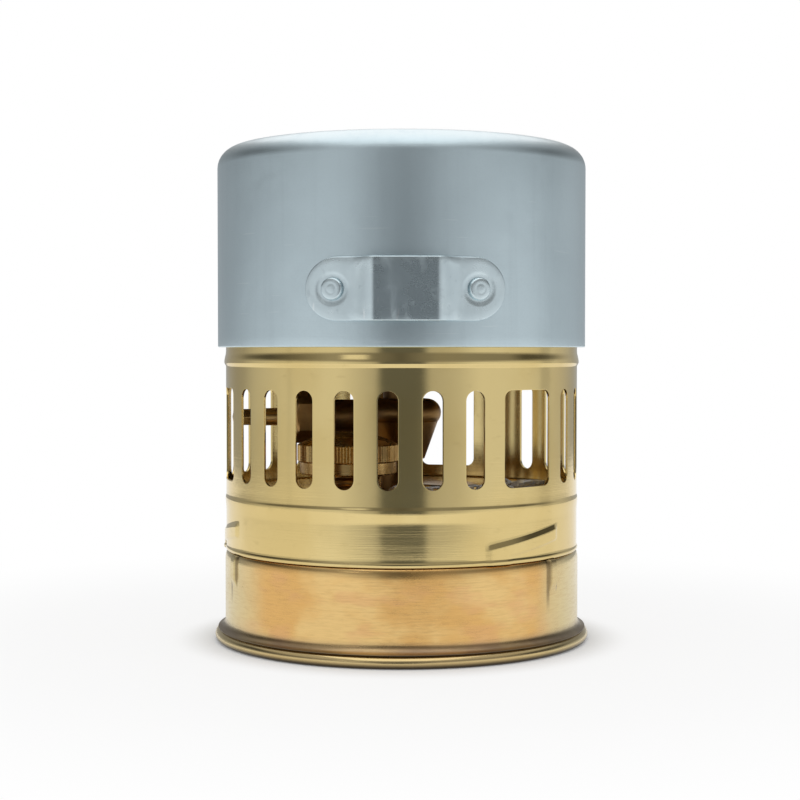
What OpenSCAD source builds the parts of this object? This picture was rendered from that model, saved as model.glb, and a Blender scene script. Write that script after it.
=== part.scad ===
// Compact liquid-fuel camping stove with an upside-down cup for a lid.
// Millimetres, +Z up. The origin is the centre of the foot ring on the ground, and -Y is the front.
// Angles round the stove are measured from the front toward +X.

/* [Windscreen] */
// Outer diameter of the windscreen
screen_d = 93.6; // [90:0.1:100]
// Sheet thickness of the windscreen
screen_wall = 0.6; // [0.5:0.05:0.7]
// Height of the windscreen from its lower edge to its top flange
screen_h = 87.65; // [85:0.05:95]
// Rounding between the wall and the top flange
screen_round = 5; // [3:0.5:7]
// Width of one air slot
slot_w = 5; // [3:0.1:6]
// Height of the air slots and windows
slot_h = 24.05; // [18:0.05:25]
// Height of the slots' lower ends above the windscreen's lower edge
slot_rise = 18.45; // [17.5:0.05:20]
// Number of slots between two windows
slots_per_window = 7; // [3:1:7]
// Width of one window
window_w = 16.2; // [12:0.1:18]
// Corner rounding of a window
window_round = 2.2; // [1:0.1:4]
// Direction of the first window
window_angle = 42.6; // [36:0.1:48]
// Height of the lower bead's middle above the lower edge
low_bead_rise = 13.1; // [12:0.1:14.5]
// How far the lower bead stands out
low_bead_reach = 0.5; // [0.3:0.05:0.6]
// Height of the upper bead's middle above the lower edge
high_bead_rise = 49.8; // [47:0.1:51]
// How far the upper bead stands out
high_bead_reach = 0.65; // [0.4:0.05:0.8]
// Height of a bead
bead_h = 4; // [3:0.1:4.5]
// Radius of the wired top rim's middle
rim_r = 33; // [28:0.5:35]
// Diameter of the wire in the top rim
rim_wire_d = 1.6; // [1:0.1:2]

/* [Bayonet] */
// Direction of the first bayonet lug on the tank
lug_angle = 54; // [48:0.5:60]
// Diameter of a bayonet lug
lug_d = 1.7; // [1.2:0.1:1.8]
// Height of the lugs above the windscreen's lower edge
lug_rise = 5.85; // [5.5:0.05:6.5]
// Angle that the windscreen twists between locked and free
screen_twist = 23; // [18:1:24]
// Climb of the groove for each millimetre along it
groove_slope = 0.155; // [0.1:0.005:0.17]
// Clear height inside a bayonet groove
groove_h = 2.4; // [2.3:0.1:2.8]
// Clear width of a groove's entry at the lower edge
entry_w = 5.6; // [4:0.1:6.5]
// How far the pressed groove stands out
groove_reach = 0.75; // [0.7:0.05:1]
// Width of the pressed wall round a groove
groove_margin = 0.5; // [0.4:0.05:0.6]

/* [Tank] */
// Height of the shoulder that the windscreen stands on
shoulder_h = 24.05; // [20:0.05:26]
// Height of the tank's top
tank_h = 39.5; // [39:0.1:41]
// Sheet thickness of the tank
tank_wall = 0.8; // [0.6:0.05:1]
// How far the tank's wall stands out from the windscreen
tank_lip = 0.3; // [0.2:0.05:0.6]
// Rounding of the shoulder's outer corner
shoulder_round = 1; // [0.6:0.1:1.2]
// Rounding of the tank's top edge
top_round = 3; // [2:0.1:3]
// How far the foot ring stands out from the tank's wall
foot_reach = 2.7; // [2.2:0.1:4]
// Radius of the foot ring's bead
foot_bead_r = 1.5; // [1:0.1:1.8]
// Height where the wall starts to flare into the foot
flare_h = 6.8; // [5.5:0.1:8]
// Radius of the flare
flare_r = 3.57; // [3:0.01:4.5]
// Depth of the line between the flare and the foot's bead
foot_line = 0.9; // [0.6:0.1:1.2]
// Depth of the priming bowl
bowl_depth = 4.5; // [3:0.1:6]
// Diameter of the priming bowl
bowl_d = 30; // [26:0.5:31]
// Rounding at the bottom of the priming bowl
bowl_round = 2.5; // [1:0.1:2.5]
// Thickness of the tank's bottom plate
bottom_wall = 0.9; // [0.6:0.05:1.2]
// Height of the bottom plate's flat edge
bottom_h = 2.6; // [2:0.1:3]
// Rise of the bottom plate's dished middle
bottom_dish = 1.5; // [0.5:0.1:3]
// Height of the pressed ribs on the wall
rib_h = 6.3; // [4:0.1:8]
// Width of the pressed ribs on the wall
rib_w = 5; // [3:0.1:6]
// How far a pressed rib stands out
rib_reach = 0.4; // [0.2:0.05:0.5]

/* [Burner] */
// Radius of the vaporizer's stem
stem_r = 5.5; // [4.8:0.1:5.8]
// Radius of the stem's thread that passes through the tank
stem_thread_r = 4.5; // [4.2:0.1:4.7]
// Length of the stem's thread below the priming bowl
stem_thread_l = 6; // [4:0.1:8]
// Radius of the flange above the stem's thread
stem_flange_r = 8; // [7:0.1:9]
// Thickness of the stem's flange
stem_flange_t = 2.4; // [1.5:0.1:3]
// Thickness of the washer under the stem's flange
washer_t = 1; // [0.6:0.1:1.5]
// Bore of the stem for the wick
stem_bore_r = 3.2; // [2.6:0.1:3.4]
// Height of the spindle above the tank's top
valve_rise = 19.6; // [18:0.1:21]
// Largest radius of the valve body
bulb_r = 10.6; // [9.5:0.1:11.5]
// Rounding of the valve body's top
bulb_round = 3.7; // [3:0.1:4]
// Height of the valve body's top above the spindle
bulb_top_rise = 4.6; // [4.5:0.1:5.5]
// Length of the valve body's cone
bulb_cone_h = 11.8; // [9:0.1:12]
// Radius at the foot of the valve body's cone
bulb_foot_r = 6.2; // [6:0.1:7]
// Outer radius of the jet's hexagon
jet_hex_r = 4; // [3.5:0.1:4.1]
// Radius of the jet's thread
jet_thread_r = 2.95; // [2.6:0.05:3.1]
// Radius of the jet's hole
jet_hole_r = 0.3; // [0.28:0.01:0.4]
// Height of the jet above its seat
jet_h = 4; // [3.8:0.1:4.4]
// Height of the jet's hexagon
jet_hex_h = 2.6; // [2:0.1:3]
// Radius of the jet's tip
jet_tip_r = 1.6; // [1.4:0.1:2]
// Length of the jet's hole
jet_hole_l = 0.8; // [0.6:0.1:1]
// Outer radius of the burner bell's throat
throat_r = 4.9; // [4.8:0.1:6]
// Height of the throat
throat_h = 5.3; // [4.5:0.1:7]
// Outer radius of the burner bell
bell_r = 19; // [16:0.5:22]
// Height of the burner bell's cone
bell_cone_h = 21; // [16:0.5:22]
// Height of the burner bell's straight rim
bell_rim_h = 10; // [6:0.5:11]
// Sheet thickness of the burner bell
bell_wall = 0.7; // [0.5:0.05:0.8]
// Number of air holes in the bell
air_holes = 6; // [4:1:8]
// Radius of an air hole
air_hole_r = 2.2; // [1.5:0.1:2.6]
// Height of the air holes up the bell's cone
air_hole_rise = 6.3; // [5:0.1:9]
// Thickness of the flame spreader
spreader_t = 0.8; // [0.6:0.1:1.2]
// How far the flame spreader reaches past the bell
spreader_lip = 0.6; // [0.2:0.1:1.2]
// Height of the flame spreader's spigot
spigot_h = 2.5; // [1.5:0.1:4]
// Radius of the flame spreader's raised middle
spreader_boss_r = 7; // [5:0.1:7.4]
// Height of the flame spreader's raised middle
spreader_boss_h = 2.4; // [1.2:0.1:3]
// Number of flame slots
flame_slots = 18; // [12:1:20]
// Width of a flame slot
flame_slot_w = 2; // [1.2:0.1:2.4]
// Radius of the flame slots' inner ends
flame_slot_in_r = 8.2; // [7.8:0.1:10]
// Radius of the flame slots' outer ends
flame_slot_out_r = 16.6; // [14:0.1:16.6]

/* [Valve] */
// Radius of the spindle
spindle_r = 2.3; // [2.25:0.05:2.5]
// Width across the square end of the spindle
spindle_square = 3.1; // [2.6:0.1:3.1]
// Length of the square end
spindle_square_l = 6; // [4:0.5:8]
// Width of the pinion and the rack
rack_w = 2.4; // [1.8:0.1:2.4]
// Thickness of the rack's bar behind its teeth
rack_bar = 1.15; // [0.9:0.05:1.2]
// Angle that the spindle turns
spindle_turn = 135; // [90:1:135]
// Radius of the cleaning needle
needle_r = 0.2; // [0.15:0.01:0.2]
// Radius of the valve body's arm
arm_boss_r = 4.4; // [4.2:0.1:4.5]
// Distance from the stem's axis to the arm's end
arm_boss_l = 20.5; // [18:0.5:22]
// Radius of the thread for the gland nut
gland_thread_r = 3.9; // [3.8:0.1:4.1]
// Length of the thread for the gland nut
gland_thread_l = 6; // [5:0.1:7]
// Width across flats of the gland nut
gland_flats = 12.2; // [11:0.1:13]
// Length of the gland nut
gland_l = 7.9; // [7.7:0.1:9]
// Radius of the packing chamber
packing_r = 3.2; // [3:0.05:3.3]
// Length of the graphite packing
packing_l = 3.2; // [2:0.1:3.6]

/* [Filler] */
// Direction of the filler from the stove's axis
filler_angle = -27.4; // [-32:0.1:-22]
// Distance of the filler from the stove's axis
filler_pos = 29.3; // [28.7:0.1:29.4]
// Outer radius of the filler neck
filler_r = 8; // [7.5:0.1:8.4]
// Bore of the filler neck
filler_bore_r = 6; // [5.6:0.1:6.4]
// Height of the filler neck above the tank
filler_rise = 9.1; // [8.7:0.1:10]
// Radius of the filler neck's flange
filler_flange_r = 9.5; // [9:0.1:10]
// Thickness of the filler neck's flange
filler_flange_t = 1.5; // [1:0.1:2]
// How far the filler neck reaches into the tank
filler_depth = 4; // [2:0.1:6]
// Thickness of the gasket
gasket_t = 1.2; // [0.8:0.1:1.6]
// Outer radius of the filler cap's knurl
cap_r = 12.9; // [11.5:0.1:13.2]
// Height of the cap's lower edge above the tank
cap_rise = 6; // [4:0.1:6.5]
// Height of the smooth skirt
cap_skirt_h = 3.2; // [2:0.1:4]
// Height of the knurled band
knurl_h = 4.5; // [4:0.1:6]
// Depth of the knurl
knurl_depth = 0.4; // [0.2:0.05:0.6]
// Number of knurl ridges
knurl_count = 96; // [60:2:120]
// Height of the domed top
cap_dome_h = 3; // [2:0.1:4]
// Bore of the relief valve in the cap
relief_bore_r = 2.6; // [2.4:0.1:3]
// Wall round the relief valve's bore
boss_wall = 1.6; // [1:0.1:1.8]
// Depth of the relief valve's seat below the cap's ceiling
valve_depth = 6.2; // [5.5:0.1:6.6]
// Thickness of the relief valve's seat
valve_floor_t = 1.2; // [0.8:0.1:1.6]
// Thickness of the relief valve's pad
pad_t = 0.8; // [0.5:0.1:1]
// Thickness of the relief plunger's head
plunger_t = 1.2; // [0.8:0.1:1.4]
// Lift of the relief valve
relief_lift = 1.2; // [0.6:0.1:1.4]
// Length of the relief spring
spring_l = 6; // [5.8:0.1:6.4]
// Mean radius of the relief spring
spring_r = 1.75; // [1.6:0.05:1.9]
// Radius of the spring's wire
spring_wire_r = 0.3; // [0.2:0.02:0.3]
// Number of spring turns
spring_turns = 5; // [3:1:5]

/* [Key] */
// Direction of the key's ring on the tank's top
key_angle = 72; // [66:1:78]
// Distance of the key's chain from the stove's axis
chain_r = 30; // [28:0.5:32]
// Distance between the key's two holes
key_l = 21; // [18:0.5:22]
// Thickness of the key
key_t = 1; // [0.8:0.1:1.2]
// Outer radius of the key's eye
key_eye_r = 3.4; // [3.2:0.1:3.8]
// Radius of the hole in the key's eye
key_hole_r = 1.9; // [1.7:0.1:2]
// Width of the key's shank
key_shank_w = 4.4; // [3.4:0.1:5]
// Radius of the key's square end
key_head_r = 4; // [3.6:0.1:4.2]
// Radius of the rings at both ends of the chain
ring_r = 2.4; // [2.2:0.1:2.8]
// Radius of the chain's wire
chain_wire_r = 0.4; // [0.3:0.02:0.42]
// Straight length of a chain link
link_straight = 1.6; // [1.2:0.1:2]
// Bend radius of a chain link
link_bend = 1.1; // [1.05:0.05:1.2]
// Number of chain links
chain_links = 12; // [6:1:12]

/* [Pot supports] */
// Distance of the pivot pins from the stove's axis
pivot_r = 39.5; // [38:0.5:40]
// Direction of the first pivot pin
pivot_angle = 15; // [0:1:119]
// Radius of a pivot pin
pin_r = 1.6; // [1.2:0.1:1.8]
// Radius of a pin's heads
pin_head_r = 2.5; // [2.2:0.1:2.8]
// Thickness of a pin's foot under the flange
pin_foot_t = 0.8; // [0.5:0.1:1.2]
// Thickness of a pin's head above the barrel
pin_head_t = 0.6; // [0.4:0.1:1]
// Height of the dome on a pin's head
pin_dome_t = 0.5; // [0.3:0.1:0.8]
// Radius of a support's barrel
barrel_r = 2.9; // [2.6:0.1:3.2]
// Height of a support's barrel
barrel_h = 8; // [6:0.1:9]
// Height of a pot support
support_h = 16.5; // [13:0.1:19]
// Length of a pot support from its pivot
support_l = 24; // [20:0.5:26]
// Distance from the pivot to the end of a pot support's low edge
support_heel_l = 9.6; // [7:0.1:14]
// Plate thickness of a pot support
support_t = 1.2; // [0.8:0.1:1.6]
// Angle that a pot support swings
support_swing = 72; // [66:1:75]
// Depth of a pot support's inner end
support_tip_h = 6; // [4:0.5:9]

/* [Cup] */
// Gap between the cup's inside and the windscreen
cup_gap = 1.2; // [1:0.05:2]
// Wall thickness of the cup
cup_wall = 0.9; // [0.7:0.05:1.2]
// Depth of the cup outside
cup_h = 52.56; // [45:0.01:53]
// Rounding of the cup's corner
cup_round = 5.56; // [4:0.01:6]
// Direction of the handle bracket
bracket_angle = 1.2; // [-5:0.1:5]
// Half the angle that the bracket spans
bracket_half = 29.2; // [27:0.1:31]
// Height of the bracket
bracket_h = 15.4; // [12:0.1:17]
// Height of the bracket's middle above the cup's edge
bracket_rise = 13.96; // [12:0.01:16]
// Sheet thickness of the bracket
bracket_t = 0.9; // [0.7:0.05:1.1]
// Width of the bracket's flat bridge
bridge_w = 14.9; // [12:0.1:16]
// Gap between the bridge and the cup
bridge_gap = 1.7; // [1.2:0.1:2.4]
// Length of the sloped step on both sides of the bridge
bridge_step = 4.8; // [4:0.1:5.5]
// Angle of a rivet from the bracket's middle
rivet_half = 20.8; // [20.5:0.1:22]
// Radius of a rivet's shank
rivet_r = 1.5; // [1:0.1:1.7]
// Radius of a rivet's domed head
rivet_head_r = 2.8; // [2.4:0.1:3.2]
// Height of a rivet's domed head
rivet_head_h = 1.2; // [0.8:0.1:1.5]
// Thickness of a rivet's head inside the cup
rivet_tail_t = 0.5; // [0.3:0.05:0.6]

/* [Hidden] */
$fn = 96;

// Clearances
fit_gap = 0.05;
run_gap = 0.08;
seat_gap = 0.3;
neck_gap = 0.5;
lug_gap = 0.25;
cut_over = 1;

// Windscreen, tank and cup radii
screen_r = screen_d / 2;
screen_in_r = screen_r - screen_wall;
neck_r = screen_in_r - neck_gap;
tank_r = screen_r + tank_lip;
foot_r = tank_r + foot_reach;
cup_in_r = screen_r + cup_gap;
cup_r = cup_in_r + cup_wall;
lug_r = screen_in_r + groove_reach - lug_gap;

// Heights from the ground up
screen_z = shoulder_h + seat_gap;
screen_top_z = screen_z + screen_h;
slot_z = screen_z + slot_rise;
lug_z = screen_z + lug_rise;
support_z = screen_top_z + seat_gap;
support_top_z = support_z + support_h;
cup_top_z = support_top_z + seat_gap + cup_wall;
cup_z = cup_top_z - cup_h;
bowl_z = tank_h - bowl_depth;
valve_z = tank_h + valve_rise;
bulb_top_z = valve_z + bulb_top_rise;

// Slots, windows and bayonet grooves
window_count = 3;
slot_pitch = 360 / (window_count * (slots_per_window + 2));
slot_from = screen_in_r - 5;
slot_to = screen_r + 3;
lug_count = 3;
groove_mid_angle = lug_angle - screen_twist / 2;
lug_s = screen_r * sin(screen_twist / 2);
groove_end_s = lug_s + lug_d / 2 + 0.5;
entry_s0 = -lug_s - entry_w / 2;
entry_s1 = -lug_s + entry_w / 2;

// Curve above the wall and wired rim
curve_in_r = screen_round - screen_wall;
curl_in_r = rim_wire_d / 2 + 0.1;
curl_r = curl_in_r + screen_wall;
curl_z = screen_top_z - curl_r - fit_gap;

// Gear of the spindle and the needle
gear_module = 0.45;
pinion_teeth = 8;
pinion_r = gear_module * pinion_teeth / 2;
gear_add = gear_module * 0.89;
gear_ded = gear_module * 1.2;
tooth_root_w = gear_module * 1.44;
tooth_tip_w = gear_module * 0.67;
rack_pitch = PI * gear_module;
rack_line = 0.7;
spindle_off = rack_line + pinion_r;
needle_lift = pinion_r * spindle_turn * PI / 180;
rack_teeth = ceil(needle_lift / rack_pitch) + 2;
rack_h = rack_teeth * rack_pitch;
rack_top_z = valve_z + rack_pitch;
rack_bottom_z = rack_top_z - rack_h;
cavity_r = 1.95;
pinion_half = rack_w / 2 + 0.1;
spindle_tip = pinion_half + 0.2;
spindle_reach = screen_in_r - 1.1;
window_side = window_angle - 120;
valve_turn = 90 + window_side + asin(spindle_off / spindle_reach);

// Gland and packing
gland_start = arm_boss_l + 1.1;
packing_start = arm_boss_l + 1.2;
packing_end = packing_start + packing_l;
gland_inner = arm_boss_l + gland_thread_l + 0.1;
spindle_bore_r = spindle_r + run_gap;

// Jet and bell
throat_in_r = throat_r - bell_wall;
bell_in_r = bell_r - bell_wall;
bell_z = bulb_top_z + fit_gap;
bell_cone_z = bell_z + throat_h;
bell_rim_z = bell_cone_z + bell_cone_h;
bell_top_z = bell_rim_z + bell_rim_h;
jet_z = bell_z + bell_wall + fit_gap;
jet_top_z = jet_z + jet_h;
jet_thread_l = 1.8;
jet_chamber_z = jet_z + 1.2;
jet_tip_z = jet_top_z - jet_hole_l;
needle_tip_z = jet_top_z + 0.8 - needle_lift;
air_hole_z = bell_cone_z + air_hole_rise;
air_hole_pos = throat_r + (bell_r - throat_r) * air_hole_rise / bell_cone_h;
bell_slope = atan2(bell_r - throat_r, bell_cone_h);

// Filler
filler_top_z = tank_h + filler_rise;
gasket_z = filler_top_z + fit_gap;
ceiling_z = gasket_z + gasket_t + fit_gap;
cap_z = tank_h + cap_rise;
knurl_z = cap_z + cap_skirt_h;
dome_z = knurl_z + knurl_h;
cap_body_r = cap_r - knurl_depth;
cap_core_r = cap_body_r - 0.3;
dome_rise = cap_dome_h - 0.5;
dome_r = (cap_core_r * cap_core_r + dome_rise * dome_rise) / (2 * dome_rise);
boss_r = relief_bore_r + boss_wall;
gasket_in_r = boss_r + 0.6;
valve_floor_z = ceiling_z - valve_depth;
pad_z = valve_floor_z + fit_gap;
plunger_z = pad_z + pad_t + fit_gap;
plunger_r = relief_bore_r - 0.1;
spring_z = plunger_z + plunger_t + fit_gap;
retainer_z = spring_z + spring_l + fit_gap;
retainer_t = relief_lift + 1.2;
plunger_stem_r = 0.9;
seat_hole_r = 1;

// Key and chain
chain_z = tank_h + ring_r * cos(55) + chain_wire_r + fit_gap;
link_half = link_straight / 2 + link_bend;
link_pitch = 2 * link_half - 2 * chain_wire_r - 0.15;
ring_to_link = ring_r + link_half - 2 * chain_wire_r - 0.1;
key_tilt = asin((chain_z - tank_h - key_t / 2 - fit_gap) / (ring_r + key_l + key_head_r));

// Handle bracket
bracket_mid_z = cup_z + bracket_rise;
foot_in_r = cup_r + fit_gap;
foot_out_r = foot_in_r + bracket_t;
bridge_y = cup_r + bridge_gap;
bracket_end_x = foot_out_r * sin(bracket_half);
step_angle = asin((bridge_w / 2 + bridge_step) / foot_in_r);
step_join = step_angle + 0.6;

brass = "#c8a45c";
warm_brass = "#cf9b4f";
dark_brass = "#7a5a34";
steel = "#b9bcc0";
aluminium = "#aeb6bd";
rubber = "#2b2b2b";

// Turns what is built at the front to another direction
module toward(angle) {
    rotate([0, 0, angle]) children();
}

// A prism that runs out to the front between two distances from the axis, drawn as width and height
module radial_prism(from, to) {
    translate([0, -from, 0]) rotate([90, 0, 0]) linear_extrude(height = to - from) children();
}

// A half section that is rounded at its top outer corner
module rounded_section(r, z0, z1, corner) {
    translate([0, z0]) square([r - corner, z1 - z0]);
    translate([0, z0]) square([r, z1 - corner - z0]);
    translate([r - corner, z1 - corner]) circle(corner);
}

// A ring of round wire
module wire_ring(r, wire_r) {
    rotate_extrude() translate([r, 0]) circle(wire_r, $fn = 32);
}

// A rod along -X from one distance to another
module rod(from, to, r) {
    translate([-from, 0, 0]) rotate([0, -90, 0]) cylinder(h = to - from, r = r);
}

// Places what is built on the filler's axis
module at_filler() {
    toward(filler_angle) translate([0, -filler_pos, 0]) children();
}

// Places what is built along the spindle's axis, which runs out along -X
module at_spindle() {
    rotate([0, 0, valve_turn]) translate([0, spindle_off, valve_z]) children();
}

module bowl_section(grow) {
    r = bowl_d / 2 + grow;
    depth = bowl_depth + grow;
    corner = bowl_round + grow;
    translate([0, tank_h - depth]) {
        translate([0, corner]) square([r, depth - corner + cut_over]);
        square([r - corner, depth]);
        translate([r - corner, corner]) circle(corner);
    }
}

module tank_outside() {
    rounded_section(tank_r, 0, shoulder_h, shoulder_round);
    rounded_section(neck_r, 0, tank_h, top_round);
    difference() {
        translate([tank_r - cut_over, foot_bead_r]) {
            square([cut_over + foot_reach - foot_line, flare_h - foot_bead_r]);
        }
        translate([tank_r + flare_r, flare_h]) circle(flare_r);
    }
    square([foot_r - foot_bead_r, 2 * foot_bead_r - 0.1]);
    translate([foot_r - foot_bead_r, foot_bead_r]) circle(foot_bead_r);
}

module tank_inside() {
    difference() {
        union() {
            translate([0, -cut_over]) square([tank_r - tank_wall, shoulder_h - tank_wall + cut_over]);
            rounded_section(neck_r - tank_wall, 0, tank_h - tank_wall, top_round - tank_wall);
        }
        bowl_section(tank_wall);
    }
}

module bayonet_lug() {
    translate([0, -neck_r + 0.5, lug_z]) rotate([90, 0, 0]) cylinder(h = lug_r - neck_r + 0.5, d = lug_d);
}

module wall_rib() {
    rib_r = 1 / (8 * rib_reach / (rib_w * rib_w) + 1 / tank_r);
    translate([0, rib_r - tank_r - rib_reach, shoulder_h - shoulder_round - fit_gap - rib_h]) {
        cylinder(h = rib_h, r = rib_r);
    }
}

module tank_shell() {
    color(warm_brass) difference() {
        union() {
            rotate_extrude() tank_outside();
            for (i = [0:lug_count - 1]) toward(lug_angle + i * 360 / lug_count) {
                bayonet_lug();
                wall_rib();
            }
        }
        rotate_extrude() {
            tank_inside();
            bowl_section(0);
        }
        cylinder(h = tank_h, r = stem_thread_r + fit_gap);
        at_filler() cylinder(h = tank_h + cut_over, r = filler_r + fit_gap);
    }
}

module tank_bottom() {
    edge_r = tank_r - tank_wall - fit_gap;
    dish_r = edge_r - 8;
    color(warm_brass) rotate_extrude() polygon([
        [0, bottom_h + bottom_dish],
        [dish_r - 2 * bottom_dish, bottom_h + bottom_dish],
        [dish_r, bottom_h],
        [edge_r, bottom_h],
        [edge_r, bottom_h + bottom_wall],
        [dish_r, bottom_h + bottom_wall],
        [dish_r - 2 * bottom_dish, bottom_h + bottom_dish + bottom_wall],
        [0, bottom_h + bottom_dish + bottom_wall]
    ]);
}

module filler_neck() {
    color(dark_brass) at_filler() difference() {
        union() {
            translate([0, 0, tank_h - filler_depth]) cylinder(h = filler_rise + filler_depth, r = filler_r);
            translate([0, 0, tank_h + fit_gap]) cylinder(h = filler_flange_t, r = filler_flange_r);
        }
        cylinder(h = filler_top_z + cut_over, r = filler_bore_r);
    }
}

module cotton_wick() {
    wick_z = bottom_h + bottom_dish + bottom_wall + seat_gap;
    wick_top_z = rack_bottom_z - 3;
    color("ivory") translate([0, 0, wick_z]) cylinder(h = wick_top_z - wick_z, r = stem_bore_r - seat_gap);
}

module stem_washer() {
    color("dimgray") translate([0, 0, bowl_z + fit_gap]) difference() {
        cylinder(h = washer_t, r = stem_flange_r);
        translate([0, 0, -cut_over]) cylinder(h = washer_t + 2 * cut_over, r = stem_thread_r + fit_gap);
    }
}

module vaporizer_section() {
    flange_z = bowl_z + washer_t + 2 * fit_gap;
    cone_top_z = bulb_top_z - bulb_round - 0.5;
    cone_top_r = bulb_r - 0.2;
    translate([0, bowl_z - stem_thread_l]) square([stem_thread_r, stem_thread_l + washer_t + 1]);
    translate([0, flange_z]) square([stem_flange_r, stem_flange_t]);
    translate([0, flange_z]) square([stem_r, cone_top_z - flange_z]);
    polygon([
        [0, cone_top_z - bulb_cone_h],
        [bulb_foot_r, cone_top_z - bulb_cone_h],
        [cone_top_r, cone_top_z],
        [0, cone_top_z + 0.5]
    ]);
    translate([0, cone_top_z - 1]) square([bulb_r - bulb_round, bulb_top_z - cone_top_z + 1]);
    translate([bulb_r - bulb_round, bulb_top_z - bulb_round]) circle(bulb_round);
}

module vaporizer() {
    color(dark_brass) difference() {
        union() {
            rotate_extrude() vaporizer_section();
            at_spindle() rod(0, arm_boss_l, arm_boss_r);
            at_spindle() rod(arm_boss_l - 1, arm_boss_l + gland_thread_l, gland_thread_r);
        }
        cylinder(h = rack_bottom_z - 2, r = stem_bore_r);
        cylinder(h = bulb_top_z + cut_over, r = cavity_r);
        translate([0, 0, jet_z - bell_wall - jet_thread_l - 2 * fit_gap]) {
            cylinder(h = 2 * jet_thread_l, r = jet_thread_r + fit_gap);
        }
        at_spindle() rod(-spindle_tip - 0.3, arm_boss_l + gland_thread_l + cut_over, spindle_bore_r);
        at_spindle() rod(packing_start - fit_gap, arm_boss_l + gland_thread_l + cut_over, packing_r);
    }
}

module jet_nipple() {
    color(brass) difference() {
        union() {
            translate([0, 0, jet_z - bell_wall - fit_gap - jet_thread_l]) {
                cylinder(h = jet_thread_l + 2, r = jet_thread_r);
            }
            translate([0, 0, jet_z]) cylinder(h = jet_hex_h, r = jet_hex_r, $fn = 6);
            translate([0, 0, jet_z]) cylinder(h = jet_top_z - jet_z, r1 = jet_hex_r * 0.8, r2 = jet_tip_r);
        }
        translate([0, 0, valve_z]) cylinder(h = jet_chamber_z - valve_z, r = cavity_r);
        translate([0, 0, valve_z]) cylinder(h = jet_tip_z - valve_z, r = 0.9);
        translate([0, 0, valve_z]) cylinder(h = jet_top_z - valve_z + cut_over, r = jet_hole_r);
    }
}

module burner_bell() {
    color(dark_brass) difference() {
        rotate_extrude() difference() {
            polygon([
                [0, bell_z],
                [throat_r, bell_z],
                [throat_r, bell_cone_z],
                [bell_r, bell_rim_z],
                [bell_r, bell_top_z],
                [0, bell_top_z]
            ]);
            polygon([
                [0, bell_z + bell_wall],
                [throat_in_r, bell_z + bell_wall],
                [throat_in_r, bell_cone_z + bell_wall * 0.5],
                [bell_in_r, bell_rim_z + bell_wall * 0.5],
                [bell_in_r, bell_top_z + cut_over],
                [0, bell_top_z + cut_over]
            ]);
        }
        translate([0, 0, bell_z - cut_over]) {
            cylinder(h = bell_wall + 2 * cut_over, r = jet_thread_r + fit_gap);
        }
        for (i = [0:air_holes - 1]) toward(i * 360 / air_holes) {
            translate([0, -air_hole_pos, air_hole_z]) rotate([90 + bell_slope, 0, 0]) {
                translate([0, 0, -4]) cylinder(h = 8, r = air_hole_r);
            }
        }
    }
}

module flame_spreader() {
    plate_z = bell_top_z + fit_gap;
    spigot_r = bell_in_r - 0.1;
    slot_l = flame_slot_out_r - flame_slot_in_r;
    color(dark_brass) difference() {
        union() {
            translate([0, 0, plate_z]) cylinder(h = spreader_t, r = bell_r + spreader_lip);
            translate([0, 0, plate_z - spigot_h]) difference() {
                cylinder(h = spigot_h + spreader_t / 2, r = spigot_r);
                translate([0, 0, -cut_over]) cylinder(h = spigot_h + 2 * cut_over, r = spigot_r - bell_wall);
            }
            translate([0, 0, plate_z]) {
                cylinder(h = spreader_boss_h, r1 = spreader_boss_r, r2 = spreader_boss_r - 2);
            }
        }
        for (i = [0:flame_slots - 1]) toward(i * 360 / flame_slots) {
            translate([-flame_slot_w / 2, -flame_slot_out_r, plate_z - cut_over]) {
                cube([flame_slot_w, slot_l, spreader_t + 2 * cut_over]);
            }
        }
    }
}

module graphite_packing() {
    color("#3a3a3c") at_spindle() difference() {
        rod(packing_start, packing_end, packing_r - fit_gap);
        rod(packing_start - cut_over, packing_end + cut_over, spindle_bore_r);
    }
}

module packing_washer() {
    color(brass) at_spindle() difference() {
        rod(packing_end + fit_gap, gland_inner - fit_gap, packing_r - fit_gap);
        rod(packing_end - cut_over, gland_inner + cut_over, spindle_bore_r);
    }
}

module gland_nut() {
    color(dark_brass) at_spindle() difference() {
        translate([-gland_start, 0, 0]) rotate([0, -90, 0]) rotate([0, 0, 30]) {
            cylinder(h = gland_l, d = gland_flats / cos(30), $fn = 6);
        }
        rod(gland_start - cut_over, gland_inner, gland_thread_r + fit_gap);
        rod(gland_start, gland_start + gland_l + cut_over, spindle_bore_r);
    }
}

module valve_key() {
    color(steel) toward(key_angle) translate([0, -chain_r, chain_z]) rotate([0, key_tilt, 0]) {
        translate([ring_r, 0, -key_t / 2]) linear_extrude(height = key_t) difference() {
            union() {
                circle(key_eye_r);
                translate([0, -key_shank_w / 2]) square([key_l, key_shank_w]);
                translate([key_l, 0]) circle(key_head_r);
            }
            circle(key_hole_r);
            translate([key_l, 0]) square(spindle_square + 0.3, center = true);
        }
    }
}

module key_ring() {
    color(steel) toward(key_angle) translate([0, -chain_r, chain_z]) rotate([90 - 55, 0, 0]) {
        wire_ring(ring_r, chain_wire_r);
    }
}

// One closed link that lies along X, tilted about its own length
module chain_link(tilt) {
    rotate([tilt, 0, 0]) {
        for (side = [-1, 1]) {
            translate([side * link_straight / 2, 0, 0]) rotate([0, 0, -90 * side]) {
                rotate_extrude(angle = 180) translate([link_bend, 0]) circle(chain_wire_r, $fn = 32);
            }
            translate([-link_straight / 2, side * link_bend, 0]) rotate([0, 90, 0]) {
                cylinder(h = link_straight, r = chain_wire_r, $fn = 32);
            }
        }
    }
}

function chain_turn(distance) = key_angle - distance / chain_r * 180 / PI;

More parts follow.
